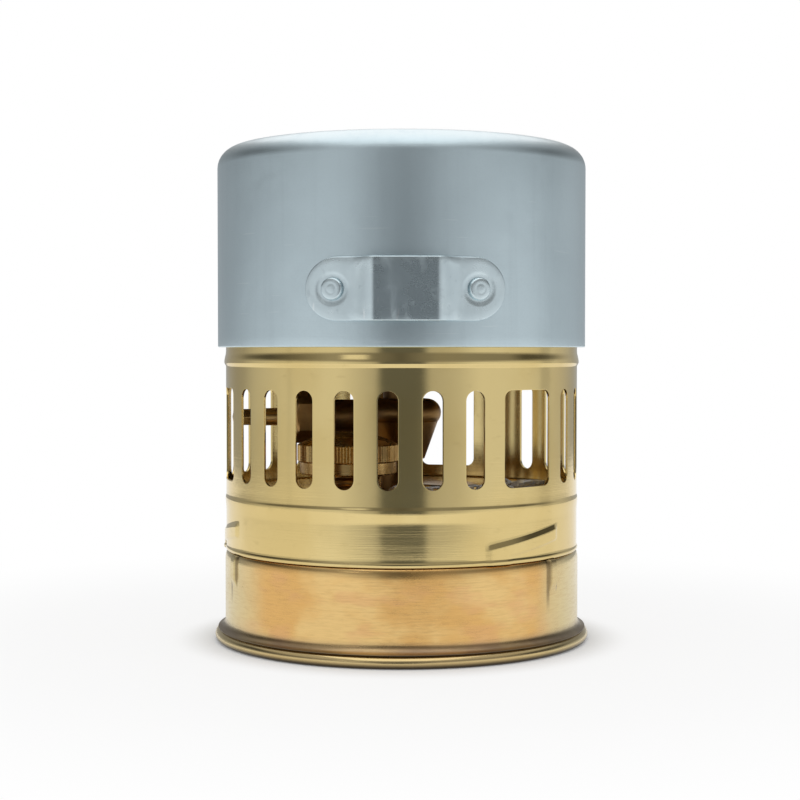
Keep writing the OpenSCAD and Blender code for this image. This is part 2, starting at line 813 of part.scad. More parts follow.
module key_chain() {
    color(steel) for (i = [0:chain_links - 1]) toward(chain_turn(ring_to_link + i * link_pitch)) {
        translate([0, -chain_r, chain_z]) chain_link(i % 2 == 0 ? -45 : 45);
    }
}

module chain_ring() {
    last = 2 * ring_to_link + (chain_links - 1) * link_pitch;
    color(steel) toward(chain_turn(last)) translate([0, -chain_r, chain_z]) {
        rotate([chain_links % 2 == 0 ? 55 - 90 : 90 - 55, 0, 0]) wire_ring(ring_r, chain_wire_r);
    }
}

module filler_gasket() {
    color(rubber) at_filler() translate([0, 0, gasket_z]) difference() {
        cylinder(h = gasket_t, r = filler_r - fit_gap);
        translate([0, 0, -cut_over]) cylinder(h = gasket_t + 2 * cut_over, r = gasket_in_r);
    }
}

module knurl_section() {
    polygon([
        for (i = [0:2 * knurl_count - 1]) let (a = i * 180 / knurl_count)
            (i % 2 == 0 ? cap_r : cap_body_r) * [cos(a), sin(a)]
    ]);
}

// Half section of the cap without its knurl: a smooth skirt and a domed top
module cap_section() {
    translate([0, cap_z]) square([cap_core_r, dome_z - cap_z]);
    intersection() {
        translate([0, dome_z + cap_dome_h - dome_r]) circle(dome_r, $fn = 256);
        translate([0, dome_z - 1]) square([cap_core_r, cap_dome_h + 2]);
    }
}

module filler_cap() {
    color(brass) at_filler() difference() {
        union() {
            rotate_extrude() cap_section();
            translate([0, 0, knurl_z]) linear_extrude(height = knurl_h) knurl_section();
        }
        difference() {
            translate([0, 0, cap_z - cut_over]) {
                cylinder(h = ceiling_z - cap_z + cut_over, r = filler_r + run_gap);
            }
            translate([0, 0, valve_floor_z - valve_floor_t]) cylinder(h = ceiling_z, r = boss_r);
        }
        translate([0, 0, valve_floor_z]) cylinder(h = dome_z, r = relief_bore_r);
        cylinder(h = dome_z, r = seat_hole_r);
    }
}

module valve_retainer() {
    color(brass) at_filler() translate([0, 0, retainer_z]) difference() {
        cylinder(h = retainer_t, r = relief_bore_r - fit_gap);
        translate([0, 0, -cut_over]) cylinder(h = retainer_t + 2 * cut_over, r = plunger_stem_r + 0.2);
    }
}

// Points of the spring's wire: one ring of points for each step along the helix
spring_steps = 8;
spring_sides = 6;
spring_rings = spring_turns * spring_steps + 1;
spring_climb = (spring_l - 2 * spring_wire_r) / spring_turns;
spring_gap = spring_climb - 2 * spring_wire_r;
echo(spring_gap = spring_gap);
function spring_middle(k) = let (a = k * 360 / spring_steps)
    [spring_r * cos(a), spring_r * sin(a), spring_wire_r + k * spring_climb / spring_steps];
function spring_point(k, j) = let (a = k * 360 / spring_steps, b = j * 360 / spring_sides)
    spring_middle(k) + spring_wire_r * [cos(b) * cos(a), cos(b) * sin(a), sin(b)];
function spring_id(k, j) = k * spring_sides + j % spring_sides;

module valve_spring() {
    points = [for (k = [0:spring_rings - 1], j = [0:spring_sides - 1]) spring_point(k, j)];
    sides = [
        for (k = [0:spring_rings - 2], j = [0:spring_sides - 1]) each [
            [spring_id(k, j), spring_id(k + 1, j), spring_id(k, j + 1)],
            [spring_id(k, j + 1), spring_id(k + 1, j), spring_id(k + 1, j + 1)]
        ]
    ];
    last = spring_rings - 1;
    ends = [
        for (j = [1:spring_sides - 2]) each [
            [spring_id(0, 0), spring_id(0, j), spring_id(0, j + 1)],
            [spring_id(last, 0), spring_id(last, j + 1), spring_id(last, j)]
        ]
    ];
    color(steel) at_filler() translate([0, 0, spring_z]) polyhedron(points, concat(sides, ends));
}

module relief_plunger() {
    stem_l = spring_l + fit_gap - 0.3;
    color(brass) at_filler() translate([0, 0, plunger_z]) {
        cylinder(h = plunger_t, r = plunger_r);
        cylinder(h = plunger_t + stem_l, r = plunger_stem_r);
    }
}

module relief_pad() {
    color(rubber) at_filler() translate([0, 0, pad_z]) cylinder(h = pad_t, r = plunger_r - 0.2);
}

module pinion_section() {
    root = pinion_r - gear_ded;
    tip = pinion_r + gear_add;
    wide = asin(tooth_root_w / 2 / root);
    slim = asin(tooth_tip_w / 2 / tip);
    polygon([
        for (i = [0:pinion_teeth - 1]) let (a = i * 360 / pinion_teeth) each [
            root * [cos(a - wide), sin(a - wide)],
            tip * [cos(a - slim), sin(a - slim)],
            tip * [cos(a + slim), sin(a + slim)],
            root * [cos(a + wide), sin(a + wide)]
        ]
    ]);
}

module spindle() {
    square_start = spindle_reach - spindle_square_l;
    color(steel) at_spindle() {
        translate([spindle_tip, 0, 0]) rotate([0, -90, 0]) {
            rotate([0, 0, 90]) linear_extrude(height = spindle_tip + pinion_half + 0.2) pinion_section();
        }
        rod(pinion_half + 0.1, square_start, spindle_r);
        translate([-spindle_reach, -spindle_square / 2, -spindle_square / 2]) {
            cube([spindle_square_l + 1, spindle_square, spindle_square]);
        }
    }
}

module rack_section() {
    root = rack_line - gear_ded;
    tip = rack_line + gear_add;
    polygon([
        [root - rack_bar, rack_bottom_z],
        [root, rack_bottom_z],
        for (i = [0:rack_teeth - 1]) let (z = rack_bottom_z + (i + 0.5) * rack_pitch) each [
            [root, z - tooth_root_w / 2],
            [tip, z - tooth_tip_w / 2],
            [tip, z + tooth_tip_w / 2],
            [root, z + tooth_root_w / 2]
        ],
        [root, rack_top_z],
        [root - rack_bar, rack_top_z]
    ]);
}

module cleaning_needle() {
    color(steel) rotate([0, 0, valve_turn]) {
        translate([-rack_w / 2, 0, 0]) rotate([90, 0, 90]) linear_extrude(height = rack_w) rack_section();
        translate([0, 0, rack_top_z - 0.5]) cylinder(h = needle_tip_z - rack_top_z + 0.5, r = needle_r);
    }
}

module rim_wire() {
    color(steel) translate([0, 0, curl_z]) wire_ring(rim_r, rim_wire_d / 2);
}

module bead_section(z, reach, shrink) {
    bead_r = (bead_h * bead_h / 4 + reach * reach) / (2 * reach);
    from_r = screen_in_r + (shrink > 0 ? -cut_over : screen_wall / 2);
    intersection() {
        translate([screen_r + reach - bead_r, z]) circle(bead_r - shrink);
        translate([from_r, z - bead_h]) square([4, 2 * bead_h]);
    }
}

module screen_section() {
    difference() {
        union() {
            difference() {
                rounded_section(screen_r, screen_z, screen_top_z, screen_round);
                rounded_section(screen_in_r, screen_z - cut_over, screen_top_z - screen_wall, curve_in_r);
                translate([0, screen_z]) square([rim_r, screen_h + cut_over]);
            }
            bead_section(screen_z + low_bead_rise, low_bead_reach, 0);
            bead_section(screen_z + high_bead_rise, high_bead_reach, 0);
            translate([rim_r, curl_z]) circle(curl_r);
        }
        bead_section(screen_z + low_bead_rise, low_bead_reach, screen_wall);
        bead_section(screen_z + high_bead_rise, high_bead_reach, screen_wall);
        translate([rim_r, curl_z]) circle(curl_in_r);
        translate([rim_r, curl_z - curl_r - 0.5]) square([curl_r + 0.5, curl_r + 0.2]);
    }
}

module window_outline() {
    half = window_w / 2 - window_round;
    translate([-window_w / 2, slot_z + window_round]) square([window_w, slot_h - 2 * window_round]);
    translate([-half, slot_z]) square([2 * half, slot_h]);
    for (x = [-half, half], z = [slot_z + window_round, slot_z + slot_h - window_round]) {
        translate([x, z]) circle(window_round);
    }
}

module slot_outline() {
    translate([-slot_w / 2, slot_z + slot_w / 2]) square([slot_w, slot_h - slot_w]);
    for (z = [slot_z + slot_w / 2, slot_z + slot_h - slot_w / 2]) translate([0, z]) circle(slot_w / 2);
}

// Outline of a bayonet groove, grown by the width of its pressed wall
module groove_outline(grow, drop) {
    function middle(s) = lug_z + (s - lug_s) * groove_slope;
    low = groove_h / 2 + grow;
    left = entry_s0 - grow;
    inner = entry_s1 + grow;
    right = groove_end_s + grow;
    polygon([
        [left, screen_z - drop],
        [inner, screen_z - drop],
        [inner, middle(inner) - low],
        [right, middle(right) - low],
        [right, middle(right) + low],
        [left, middle(left) + low]
    ]);
}

module groove_press() {
    intersection() {
        translate([0, 0, screen_z + fit_gap]) difference() {
            cylinder(h = 2 * lug_rise, r = screen_r + groove_reach);
            translate([0, 0, -cut_over]) cylinder(h = 4 * lug_rise, r = screen_in_r + screen_wall / 2);
        }
        radial_prism(neck_r * 0.8, screen_r + 2) groove_outline(groove_margin, 0);
    }
}

module groove_cut() {
    intersection() {
        translate([0, 0, screen_z - cut_over]) cylinder(h = 3 * lug_rise, r = screen_in_r + groove_reach);
        radial_prism(neck_r * 0.8, screen_r + 2) groove_outline(0, cut_over);
    }
}

module windscreen() {
    color(brass) difference() {
        union() {
            rotate_extrude() screen_section();
            for (i = [0:lug_count - 1]) toward(groove_mid_angle + i * 360 / lug_count) groove_press();
        }
        for (i = [0:lug_count - 1]) toward(groove_mid_angle + i * 360 / lug_count) groove_cut();
        for (i = [0:window_count - 1]) toward(window_angle + i * 360 / window_count) {
            radial_prism(slot_from, slot_to) window_outline();
            for (k = [0:slots_per_window - 1]) toward((k + 1.5) * slot_pitch) {
                radial_prism(slot_from, slot_to) slot_outline();
            }
        }
        for (i = [1:3]) at_pivot(i) translate([0, 0, screen_top_z - 2 * cut_over]) {
            cylinder(h = 4 * cut_over, r = pin_r + fit_gap);
        }
    }
}

// Places what is built on a pot support's pivot
module at_pivot(i) {
    toward(pivot_angle + (i - 1) * 120) translate([0, -pivot_r, 0]) children();
}

module pivot_pin(i) {
    foot_z = screen_top_z - screen_wall - fit_gap - pin_foot_t;
    head_z = support_z + barrel_h + 0.2;
    color(steel) at_pivot(i) {
        translate([0, 0, foot_z]) cylinder(h = pin_foot_t, r = pin_head_r);
        translate([0, 0, foot_z]) cylinder(h = head_z + pin_head_t / 2 - foot_z, r = pin_r);
        translate([0, 0, head_z]) cylinder(h = pin_head_t, r = pin_head_r);
        translate([0, 0, head_z + pin_head_t]) {
            cylinder(h = pin_dome_t, r1 = pin_head_r, r2 = pin_head_r * 0.7);
        }
    }
}

module pot_support(i) {
    start = (pin_r + run_gap + barrel_r) / 2;
    step = max(barrel_r, pin_head_r) + 0.4;
    color(steel) at_pivot(i) translate([0, 0, support_z]) rotate([0, 0, 90 - support_swing]) {
        difference() {
            cylinder(h = barrel_h, r = barrel_r);
            translate([0, 0, -cut_over]) cylinder(h = barrel_h + 2 * cut_over, r = pin_r + run_gap);
        }
        translate([0, support_t / 2, 0]) rotate([90, 0, 0]) linear_extrude(height = support_t) polygon([
            [start, 0.5],
            [support_heel_l, 0.5],
            [support_l, support_h - support_tip_h],
            [support_l, support_h],
            [step, support_h],
            [step, barrel_h - 0.5],
            [start, barrel_h - 0.5]
        ]);
    }
}

module rivet_hole(angle, r) {
    toward(bracket_angle + angle) translate([0, 0, bracket_mid_z]) rotate([90, 0, 0]) {
        translate([0, 0, cup_in_r - 5]) cylinder(h = 12, r = r);
    }
}

module cup() {
    color(aluminium) difference() {
        rotate_extrude() difference() {
            rounded_section(cup_r, cup_z, cup_top_z, cup_round);
            rounded_section(cup_in_r, cup_z - cut_over, cup_top_z - cup_wall, cup_round - cup_wall);
        }
        for (side = [-1, 1]) rivet_hole(side * rivet_half, rivet_r + fit_gap);
    }
}

// One edge of the raised part: from a foot, up a step, along the bridge and down to the other foot
function step_edge(r, y) = [
    r * [-sin(step_join), -cos(step_join)],
    [-bridge_w / 2, -y],
    [bridge_w / 2, -y],
    r * [sin(step_join), -cos(step_join)]
];

// Plan of the bracket: two feet that hug the cup, two sloped steps and a flat bridge
module bracket_plan() {
    difference() {
        circle(foot_out_r);
        circle(foot_in_r);
        translate([-foot_out_r, 0]) square([2 * foot_out_r, foot_out_r]);
        polygon([[0, 0], 2 * foot_out_r * [-sin(step_angle), -cos(step_angle)],
            2 * foot_out_r * [sin(step_angle), -cos(step_angle)]]);
    }
    outer = step_edge(foot_out_r - 0.1 * bracket_t, bridge_y + bracket_t);
    inner = step_edge(foot_in_r + 0.1 * bracket_t, bridge_y);
    polygon(concat(outer, [for (i = [3:-1:0]) inner[i]]));
}

module handle_bracket() {
    end_r = bracket_h / 2;
    color(aluminium) difference() {
        toward(bracket_angle) translate([0, 0, bracket_mid_z]) intersection() {
            translate([0, 0, -end_r]) linear_extrude(height = bracket_h) bracket_plan();
            radial_prism(cup_r * 0.7, cup_r + 10) {
                translate([-bracket_end_x + end_r, -end_r]) square([2 * (bracket_end_x - end_r), bracket_h]);
                for (side = [-1, 1]) translate([side * (bracket_end_x - end_r), 0]) circle(end_r);
            }
        }
        for (side = [-1, 1]) rivet_hole(side * rivet_half, rivet_r + fit_gap);
    }
}

module bracket_rivet(side) {
    seat = foot_out_r + fit_gap;
    ball_r = (rivet_head_r * rivet_head_r + rivet_head_h * rivet_head_h) / (2 * rivet_head_h);
    tail = cup_in_r - fit_gap - rivet_head_r * rivet_head_r / (2 * cup_in_r) - rivet_tail_t;
    color(aluminium) toward(bracket_angle + side * rivet_half) translate([0, 0, bracket_mid_z]) {
        rotate([90, 0, 0]) {
            translate([0, 0, tail]) cylinder(h = seat - tail + 0.2, r = rivet_r);
            translate([0, 0, tail]) cylinder(h = rivet_tail_t, r = rivet_head_r);
            intersection() {
                translate([0, 0, seat + rivet_head_h - ball_r]) sphere(ball_r);
                translate([0, 0, seat]) cylinder(h = rivet_head_h + cut_over, r = rivet_head_r + cut_over);
            }
        }
    }
}

tank_shell();
tank_bottom();
filler_neck();
cotton_wick();
stem_washer();
vaporizer();
jet_nipple();
burner_bell();
flame_spreader();
graphite_packing();
packing_washer();
gland_nut();
valve_key();
key_ring();
key_chain();
chain_ring();
filler_gasket();
filler_cap();
valve_retainer();
valve_spring();
relief_plunger();
relief_pad();
spindle();
cleaning_needle();
rim_wire();
windscreen();
pivot_pin(1);  // pivot_pin_1
pivot_pin(2);  // pivot_pin_2
pivot_pin(3);  // pivot_pin_3
pot_support(1);  // pot_support_1
pot_support(2);  // pot_support_2
pot_support(3);  // pot_support_3
cup();
handle_bracket();
bracket_rivet(-1);  // bracket_rivet_1
bracket_rivet(1);  // bracket_rivet_2
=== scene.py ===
import math

import bmesh
import bpy
from mathutils import Matrix, Vector


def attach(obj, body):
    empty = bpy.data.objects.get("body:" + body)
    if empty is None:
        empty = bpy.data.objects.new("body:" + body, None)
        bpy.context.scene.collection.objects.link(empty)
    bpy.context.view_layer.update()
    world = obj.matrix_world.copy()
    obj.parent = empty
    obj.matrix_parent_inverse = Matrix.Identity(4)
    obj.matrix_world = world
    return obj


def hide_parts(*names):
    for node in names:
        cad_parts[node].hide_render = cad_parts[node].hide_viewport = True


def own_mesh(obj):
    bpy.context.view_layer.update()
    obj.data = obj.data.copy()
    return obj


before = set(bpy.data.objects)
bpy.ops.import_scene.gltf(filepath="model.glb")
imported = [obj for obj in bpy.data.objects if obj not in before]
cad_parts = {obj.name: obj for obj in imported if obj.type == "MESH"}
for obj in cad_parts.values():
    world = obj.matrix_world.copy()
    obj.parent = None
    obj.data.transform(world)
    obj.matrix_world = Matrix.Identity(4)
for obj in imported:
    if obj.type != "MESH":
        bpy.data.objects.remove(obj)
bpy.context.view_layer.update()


# Tank shell: a deep brass pressing that holds the fuel. Its foot is flared and rolled into a bead, its shoulder
# carries the windscreen, and a round bowl for priming is pressed into its top. Three short ribs in the wall and
# three studs on the neck repeat at every third of a turn, so one third is made and then repeated.
MM = 0.001
THIRD = 120
TANK_R, TANK_IN_R, NECK_R, TOP_Z, SHOULDER_Z = 47.1, 46.3, 45.7, 39.5, 21.0
RIB_TURN, RIB_HALF, RIB_FOOT_Z, RIB_TOP_Z, RIB_OUT = 54, math.degrees(2.1 / TANK_R), 16, 24, 0.75
STUD_R, STUD_TIP_R, STUD_L, STUD_Z = 0.85, 0.75, 1.4, 30.2


class Wire:
    """One output in a node tree. Sums, products and functions of wires add Math nodes to the same tree."""

    def __init__(self, tree, socket):
        self.tree = tree
        self.socket = socket

    def other(self, name):
        return Wire(self.tree, self.tree.pick(self.socket.node.outputs, name))

    def math(self, operation, *others):
        return self.tree.math(operation, self, *others)

    def __add__(self, other):
        return self.math("ADD", other)

    def __radd__(self, other):
        return self.math("ADD", other)

    def __sub__(self, other):
        return self.math("SUBTRACT", other)

    def __rsub__(self, other):
        return self.tree.math("SUBTRACT", other, self)

    def __mul__(self, other):
        return self.math("MULTIPLY", other)

    def __rmul__(self, other):
        return self.math("MULTIPLY", other)

    def __truediv__(self, other):
        return self.math("DIVIDE", other)

    def rise(self, low, high, shape="SMOOTHSTEP"):
        """0 below low, 1 above high and a smooth rise between them, or a straight one."""
        sockets = {"Value": self, "From Min": low, "From Max": high}
        return self.tree.node("ShaderNodeMapRange", {"interpolation_type": shape}, sockets)


class Tree:
    """A node tree that one method fills: it makes a node, sets it up and then feeds its sockets."""

    def __init__(self, nodes):
        self.nodes = nodes

    def pick(self, sockets, key):
        if isinstance(key, int):
            return sockets[key]
        return next(s for s in sockets if key in (s.identifier, s.name))

    def node(self, kind, settings, sockets, out=0):
        made = self.nodes.nodes.new(kind)
        for name, value in settings.items():
            if name == "stops":
                for place, colour in value[2:]:
                    made.color_ramp.elements.new(place)
                for element, (place, colour) in zip(made.color_ramp.elements, sorted(value)):
                    element.position = place
                    element.color = (*colour, 1)
            else:
                setattr(made, name, value)
        for key, value in sockets.items():
            socket = self.pick(made.inputs, key)
            if isinstance(value, Wire):
                self.nodes.links.new(value.socket, socket)
            else:
                socket.default_value = value
        return Wire(self, self.pick(made.outputs, out)) if made.outputs else made

    def math(self, operation, *values):
        return self.node("ShaderNodeMath", {"operation": operation}, dict(enumerate(values)))

    def mix(self, share, low, high):
        """A colour between two colours."""
        low, high = (c if isinstance(c, Wire) else (*c, 1) for c in (low, high))
        sockets = {"Factor_Float": share, "A_Color": low, "B_Color": high}
        return self.node("ShaderNodeMix", {"data_type": "RGBA"}, sockets, "Result_Color")

    def noise(self, scale, detail=4, stretch=(1, 1, 1), shift=(0, 0, 0)):
        """Noise in the part's own space, from 0 to 1, with scale in cycles for each metre."""
        place = self.node("ShaderNodeTexCoord", {}, {}, "Object")
        place = self.node("ShaderNodeMapping", {}, {"Vector": place, "Scale": stretch, "Location": shift})
        return self.node("ShaderNodeTexNoise", {}, {"Vector": place, "Scale": scale, "Detail": detail})

    def height(self):
        """Height above the ground, in metres."""
        place = self.node("ShaderNodeTexCoord", {}, {}, "Object")
        return self.node("ShaderNodeSeparateXYZ", {}, {"Vector": place}, "Z")


def blank_tree(holder):
    """The empty node tree of a material or a world."""
    holder.use_nodes = True
    holder.node_tree.nodes.clear()
    return Tree(holder.node_tree)


def new_finish(name, paint, relief_depth, metallic=1.0):
    """A material whose paint function returns its colour, its roughness and its fine relief."""
    finish = bpy.data.materials.new(name)
    tree = blank_tree(finish)
    colour, roughness, relief = paint(tree)
    bump = tree.node("ShaderNodeBump", {}, {"Height": relief, "Strength": 1.0, "Distance": relief_depth})
    sockets = {"Base Color": colour, "Roughness": roughness, "Metallic": metallic, "Normal": bump}
    shader = tree.node("ShaderNodeBsdfPrincipled", {}, sockets)
    tree.node("ShaderNodeOutputMaterial", {}, {"Surface": shader})
    return finish


def tank_paint(tree):
    """Warm brass: orange patches of tarnish, sides painted paler (a painted reflection), a foot bead painted paler
    (a painted highlight), painted shade and some grime in the crease of the foot, painted shade lines beside the
    ribs, a painted contact shadow at the base, fine drawn lines and soft waves in the sheet."""
    place = tree.node("ShaderNodeTexCoord", {}, {}, "Object")
    x = tree.node("ShaderNodeSeparateXYZ", {}, {"Vector": place})
    side, height = x.math("ABSOLUTE"), x.other("Z")
    turn = tree.math("ARCTAN2", x, 0 - x.other("Y")) - math.radians(RIB_TURN)
    across = turn.math("WRAP", math.radians(THIRD / 2), math.radians(-THIRD / 2)) * (TANK_R * MM)
    patches = tree.noise(48, 5, (1, 1, 1.6)).rise(0.42, 0.62)
    blush = tree.noise(70, 3, (1, 1, 2.2), (0.6, 0.3, 0.2)).rise(0.52, 0.68)
    grain = tree.noise(260, 4, (1, 1, 9)).rise(0.4, 0.75)
    # Painted reflection: the tank is painted paler toward its left and right sides.
    painted_side_sheen = (side + tree.noise(40, 4, (1, 1, 0.6), (0.3, 0.1, 0.2)) * 0.012).rise(0.038, 0.049)
    colour = tree.mix(patches, (0.81, 0.555, 0.23), (0.76, 0.45, 0.155))
    colour = tree.mix(blush * 0.5, colour, (0.74, 0.41, 0.19))
    colour = tree.mix(painted_side_sheen, colour, (0.68, 0.56, 0.29))
    colour = tree.mix(grain * 0.2, colour, (0.5, 0.31, 0.12))
    # Painted shade, with some grime: the crease between flare and foot bead is painted darker and made rougher.
    crease_shade_and_grime = height.rise(0.0028, 0.0034) * (0.0068 - height).rise(0, 0.003)
    # Painted highlight: the foot bead below 4.5 mm is painted paler.
    colour = tree.mix((0.0045 - height).rise(0, 0.0012) * 0.8, colour, (0.64, 0.51, 0.26))
    colour = tree.mix(crease_shade_and_grime * (0.6 + patches * 0.25), colour, (0.23, 0.175, 0.135))
    # Painted shade: dark lines are painted along both sides of each rib.
    left = (0.0011 - (across + 0.0021).math("ABSOLUTE")).rise(0, 0.0009) * height.rise(0.010, 0.0165)
    right = (0.0006 - (across - 0.0019).math("ABSOLUTE")).rise(0, 0.0005) * height.rise(0.015, 0.018)
    colour = tree.mix((left + right) * 0.75, colour, (0.2, 0.14, 0.07))
    # Painted contact shadow: the base of the foot, below 1.7 mm, is painted nearly black.
    contact_shade = (0.0017 - height).rise(0, 0.0012)
    colour = tree.mix(contact_shade * 0.9, colour, (0.07, 0.052, 0.035))
    # Painted shade: a thin dark line is painted in the crease at 3.2 mm.
    crease_line_shade = (0.0004 - (height - 0.0032).math("ABSOLUTE")).rise(0, 0.0003)
    colour = tree.mix(crease_line_shade * 0.75, colour, (0.1, 0.075, 0.05))
    lines = tree.noise(40, 2, (1, 1, 160))
    roughness = 0.13 + patches * 0.07 + lines * 0.07 + grain * 0.06 + (crease_shade_and_grime + contact_shade) * 0.12
    waves = tree.noise(36, 1, (1, 1, 1.3), (0.7, 0.2, 0.4))
    return colour, roughness, waves * 1.0 + lines * 0.012


warm_brass = new_finish("warm_brass", tank_paint, 0.0007)


def arc(r, z, radius, start, end, steps):
    """Points of an arc in a half section: distance from the axis and height, in millimetres."""
    turns = (math.radians(start + (end - start) * k / steps) for k in range(steps + 1))
    return [(r + radius * math.cos(a), z + radius * math.sin(a)) for a in turns]


def at_angle(angle, r, z):
    """The place at a distance from the axis, at an angle from the front toward +X."""
    a = math.radians(angle)
    return Vector((r * math.sin(a), -r * math.cos(a), z)) * MM


def skin(mesh, rows, closed=True, loop=False, ends=False):
    """Lays faces between neighbouring rows of points. Each row may be closed to a ring, the last row may join the
    first one, and faces may cover both ends."""
    for low, high in zip(rows, rows[1:] + (rows[:1] if loop else [])):
        for k in range(len(low) if closed else len(low) - 1):
            j = (k + 1) % len(low)
            mesh.faces.new(dict.fromkeys((low[k], low[j], high[j], high[k])))
    if ends:
        mesh.faces.new(rows[0][::-1])
        mesh.faces.new(rows[-1])


def sweep(section, angles, press):
    """Turns a closed half section through the given angles. Press says how far a place on it is pushed outward."""
    mesh = bmesh.new()
    skin(mesh, [[mesh.verts.new(at_angle(angle, r + press(angle, r, z), z)) for r, z in section] for angle in angles])
    return mesh


def new_piece(name, mesh, finish, crease=32):
    """Makes an object of a bmesh, smooth but for edges that turn more than the crease angle."""
    data = bpy.data.meshes.new(name)
    mesh.to_mesh(data)
    mesh.free()
    data.shade_smooth()
    data.set_sharp_from_angle(angle=math.radians(crease))
    data.materials.append(finish)
    piece = bpy.data.objects.new(name, data)
    bpy.context.scene.collection.objects.link(piece)
    return piece


def new_group(name, inputs):
    """An empty geometry tree with named inputs."""
    group = bpy.data.node_groups.new(name, "GeometryNodeTree")
    for label, kind in inputs.items():
        group.interface.new_socket(label, in_out="INPUT", socket_type=kind)
    group.interface.new_socket("Geometry", in_out="OUTPUT", socket_type="NodeSocketGeometry")
    return group


def copies_round_axis(tree, what, count, first, step):
    """Copies of a geometry, turned about the stove's axis, made real and joined where they meet."""
    points = tree.node("GeometryNodeMeshLine", {}, {"Count": count, "Offset": (0, 0, 0)})
    index = tree.node("GeometryNodeInputIndex", {}, {})
    turn = tree.node("ShaderNodeCombineXYZ", {}, {"Z": first + index * step})
    sockets = {"Points": points, "Instance": what, "Rotation": turn}
    copies = tree.node("GeometryNodeInstanceOnPoints", {}, sockets)
    return tree.node("GeometryNodeRealizeInstances", {}, {"Geometry": copies})


round_axis = new_group("round the axis", {
    "Geometry": "NodeSocketGeometry", "Count": "NodeSocketInt", "First": "NodeSocketFloat",
    "Step": "NodeSocketFloat", "Finish": "NodeSocketMaterial"})
tree = Tree(round_axis)
given = tree.node("NodeGroupInput", {}, {})
solid = copies_round_axis(tree, given, given.other("Count"), given.other("First"), given.other("Step"))
solid = tree.node("GeometryNodeMergeByDistance", {}, {"Geometry": solid, "Distance": 0.002 * MM})
solid = tree.node("GeometryNodeSetMaterial", {}, {"Geometry": solid, "Material": given.other("Finish")})
tree.node("NodeGroupOutput", {}, {"Geometry": solid})


def run_group(piece, group, **inputs):
    """Puts a geometry tree on a piece, with its inputs set by name."""
    modifier = piece.modifiers.new(group.name, "NODES")
    modifier.node_group = group
    for item in group.interface.items_tree:
        if item.in_out == "INPUT" and item.name in inputs:
            modifier[item.identifier] = inputs[item.name]


def make_plain(piece, crease=32):
    """Turns what a piece's modifiers make into its own plain mesh, with its faces pointing outwards."""
    bpy.context.view_layer.update()
    graph = bpy.context.evaluated_depsgraph_get()
    data = bpy.data.meshes.new_from_object(piece.evaluated_get(graph))
    piece.modifiers.clear()
    piece.data = data
    mesh = bmesh.new()
    mesh.from_mesh(data)
    bmesh.ops.recalc_face_normals(mesh, faces=mesh.faces)
    mesh.to_mesh(data)
    mesh.free()
    data.shade_smooth()
    data.set_sharp_from_angle(angle=math.radians(crease))


def fit(piece, body, slot, *nodes):
    """Fixes a finished piece to a body, in place of the named solids."""
    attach(piece, body)
    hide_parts(*nodes)


bowl = [(4.6, 35.0), (9, 35.0)] + arc(12.5, 37.5, 2.5, -90, 0, 8) + arc(15.5, 39.0, 0.5, 180, 90, 4)
top = [(20, TOP_Z), (30, TOP_Z), (38, TOP_Z)] + arc(NECK_R - 3, TOP_Z - 3, 3, 90, 0, 9)
neck = [(NECK_R, 31.0), (NECK_R, 24.4)] + arc(NECK_R + 0.3, 24.35, 0.3, 180, 270, 3)
shoulder = [(TANK_R - 1 + math.sin(a), SHOULDER_Z + 3.05 * math.cos(a) ** 0.8)
            for a in (math.pi * k / 40 for k in range(1, 20))]
wall = [(TANK_R, SHOULDER_Z - 0.5 * k) for k in range(12)] + [(TANK_R, z) for z in (12.5, 10, 7.5, 6.5)]
flare = arc(TANK_R + 2.1, 5.6, 2.1, 180, 250, 9) + [(49.0, 3.45), (48.95, 3.28), (48.55, 3.1)]
foot = arc(48.3, 1.5, 1.5, 74, -90, 14) + [(47.2, 0.0)] + arc(46.7, 0.4, 0.4, -90, -180, 3)
inside = [(TANK_IN_R, 3), (TANK_IN_R, 12), (TANK_IN_R, 22.6)] + arc(45.3, 22.6, 0.9, 0, 90, 4) + [(44.9, 24.2)]
inside += [(44.9, 36.3)] + arc(42.5, 36.3, 2.4, 0, 90, 6) + [(30, 38.7), (15.8, 38.7), (15.8, 37.5)]
inside += arc(12.5, 37.5, 3.3, 0, -90, 6) + [(4.6, 34.2)]


def press_rib(angle, r, z):
    """A short rib pressed out of the wall, which starts at the shoulder and runs out at its foot."""
    if r < TANK_IN_R + 0.05 or abs(angle) > RIB_HALF or not RIB_FOOT_Z < z < RIB_TOP_Z:
        return 0
    across = min(1, 2.2 * (1 - abs(angle) / RIB_HALF))
    return RIB_OUT * across * min(1, (z - RIB_FOOT_Z) / 2)


columns = [-60 + 2 * k for k in range(28)] + [-4 + 0.2 * k for k in range(41)] + [6 + 2 * k for k in range(28)]
third = sweep(bowl + top + neck + shoulder + wall + flare + foot + inside, columns, press_rib)
stud = bmesh.ops.create_cone(third, cap_ends=True, segments=24, radius1=STUD_R * MM, radius2=STUD_TIP_R * MM,
                             depth=STUD_L * MM)
bmesh.ops.transform(third, verts=stud["verts"], matrix=Matrix.Translation(at_angle(0, NECK_R + 0.1, STUD_Z))
                    @ Matrix.Rotation(math.radians(90), 4, "X"))
tank_shell = new_piece("tank_shell_brass", third, warm_brass)
run_group(tank_shell, round_axis, Count=3, First=math.radians(RIB_TURN), Step=math.radians(THIRD), Finish=warm_brass)
make_plain(tank_shell)
fit(tank_shell, "tank", "warm_brass", "tank_shell")


# Tank bottom: a dished brass plate that is pushed into the foot and soldered round its edge.
# Its seam shows as a low bead just inside the foot.
def spin(section, segments, place=Matrix(), loop=False):
    """Turns a half section right round. A section that isn't a loop starts and ends on the axis."""
    mesh = bmesh.new()
    rings = []
    for r, z in section:
        if r == 0:
            rings.append([mesh.verts.new((0, 0, z * MM))] * segments)
        else:
            rings.append([mesh.verts.new(at_angle(360 * k / segments, r, z)) for k in range(segments)])
    skin(mesh, rings, loop=loop)
    bmesh.ops.recalc_face_normals(mesh, faces=mesh.faces)
    mesh.transform(place)
    return mesh


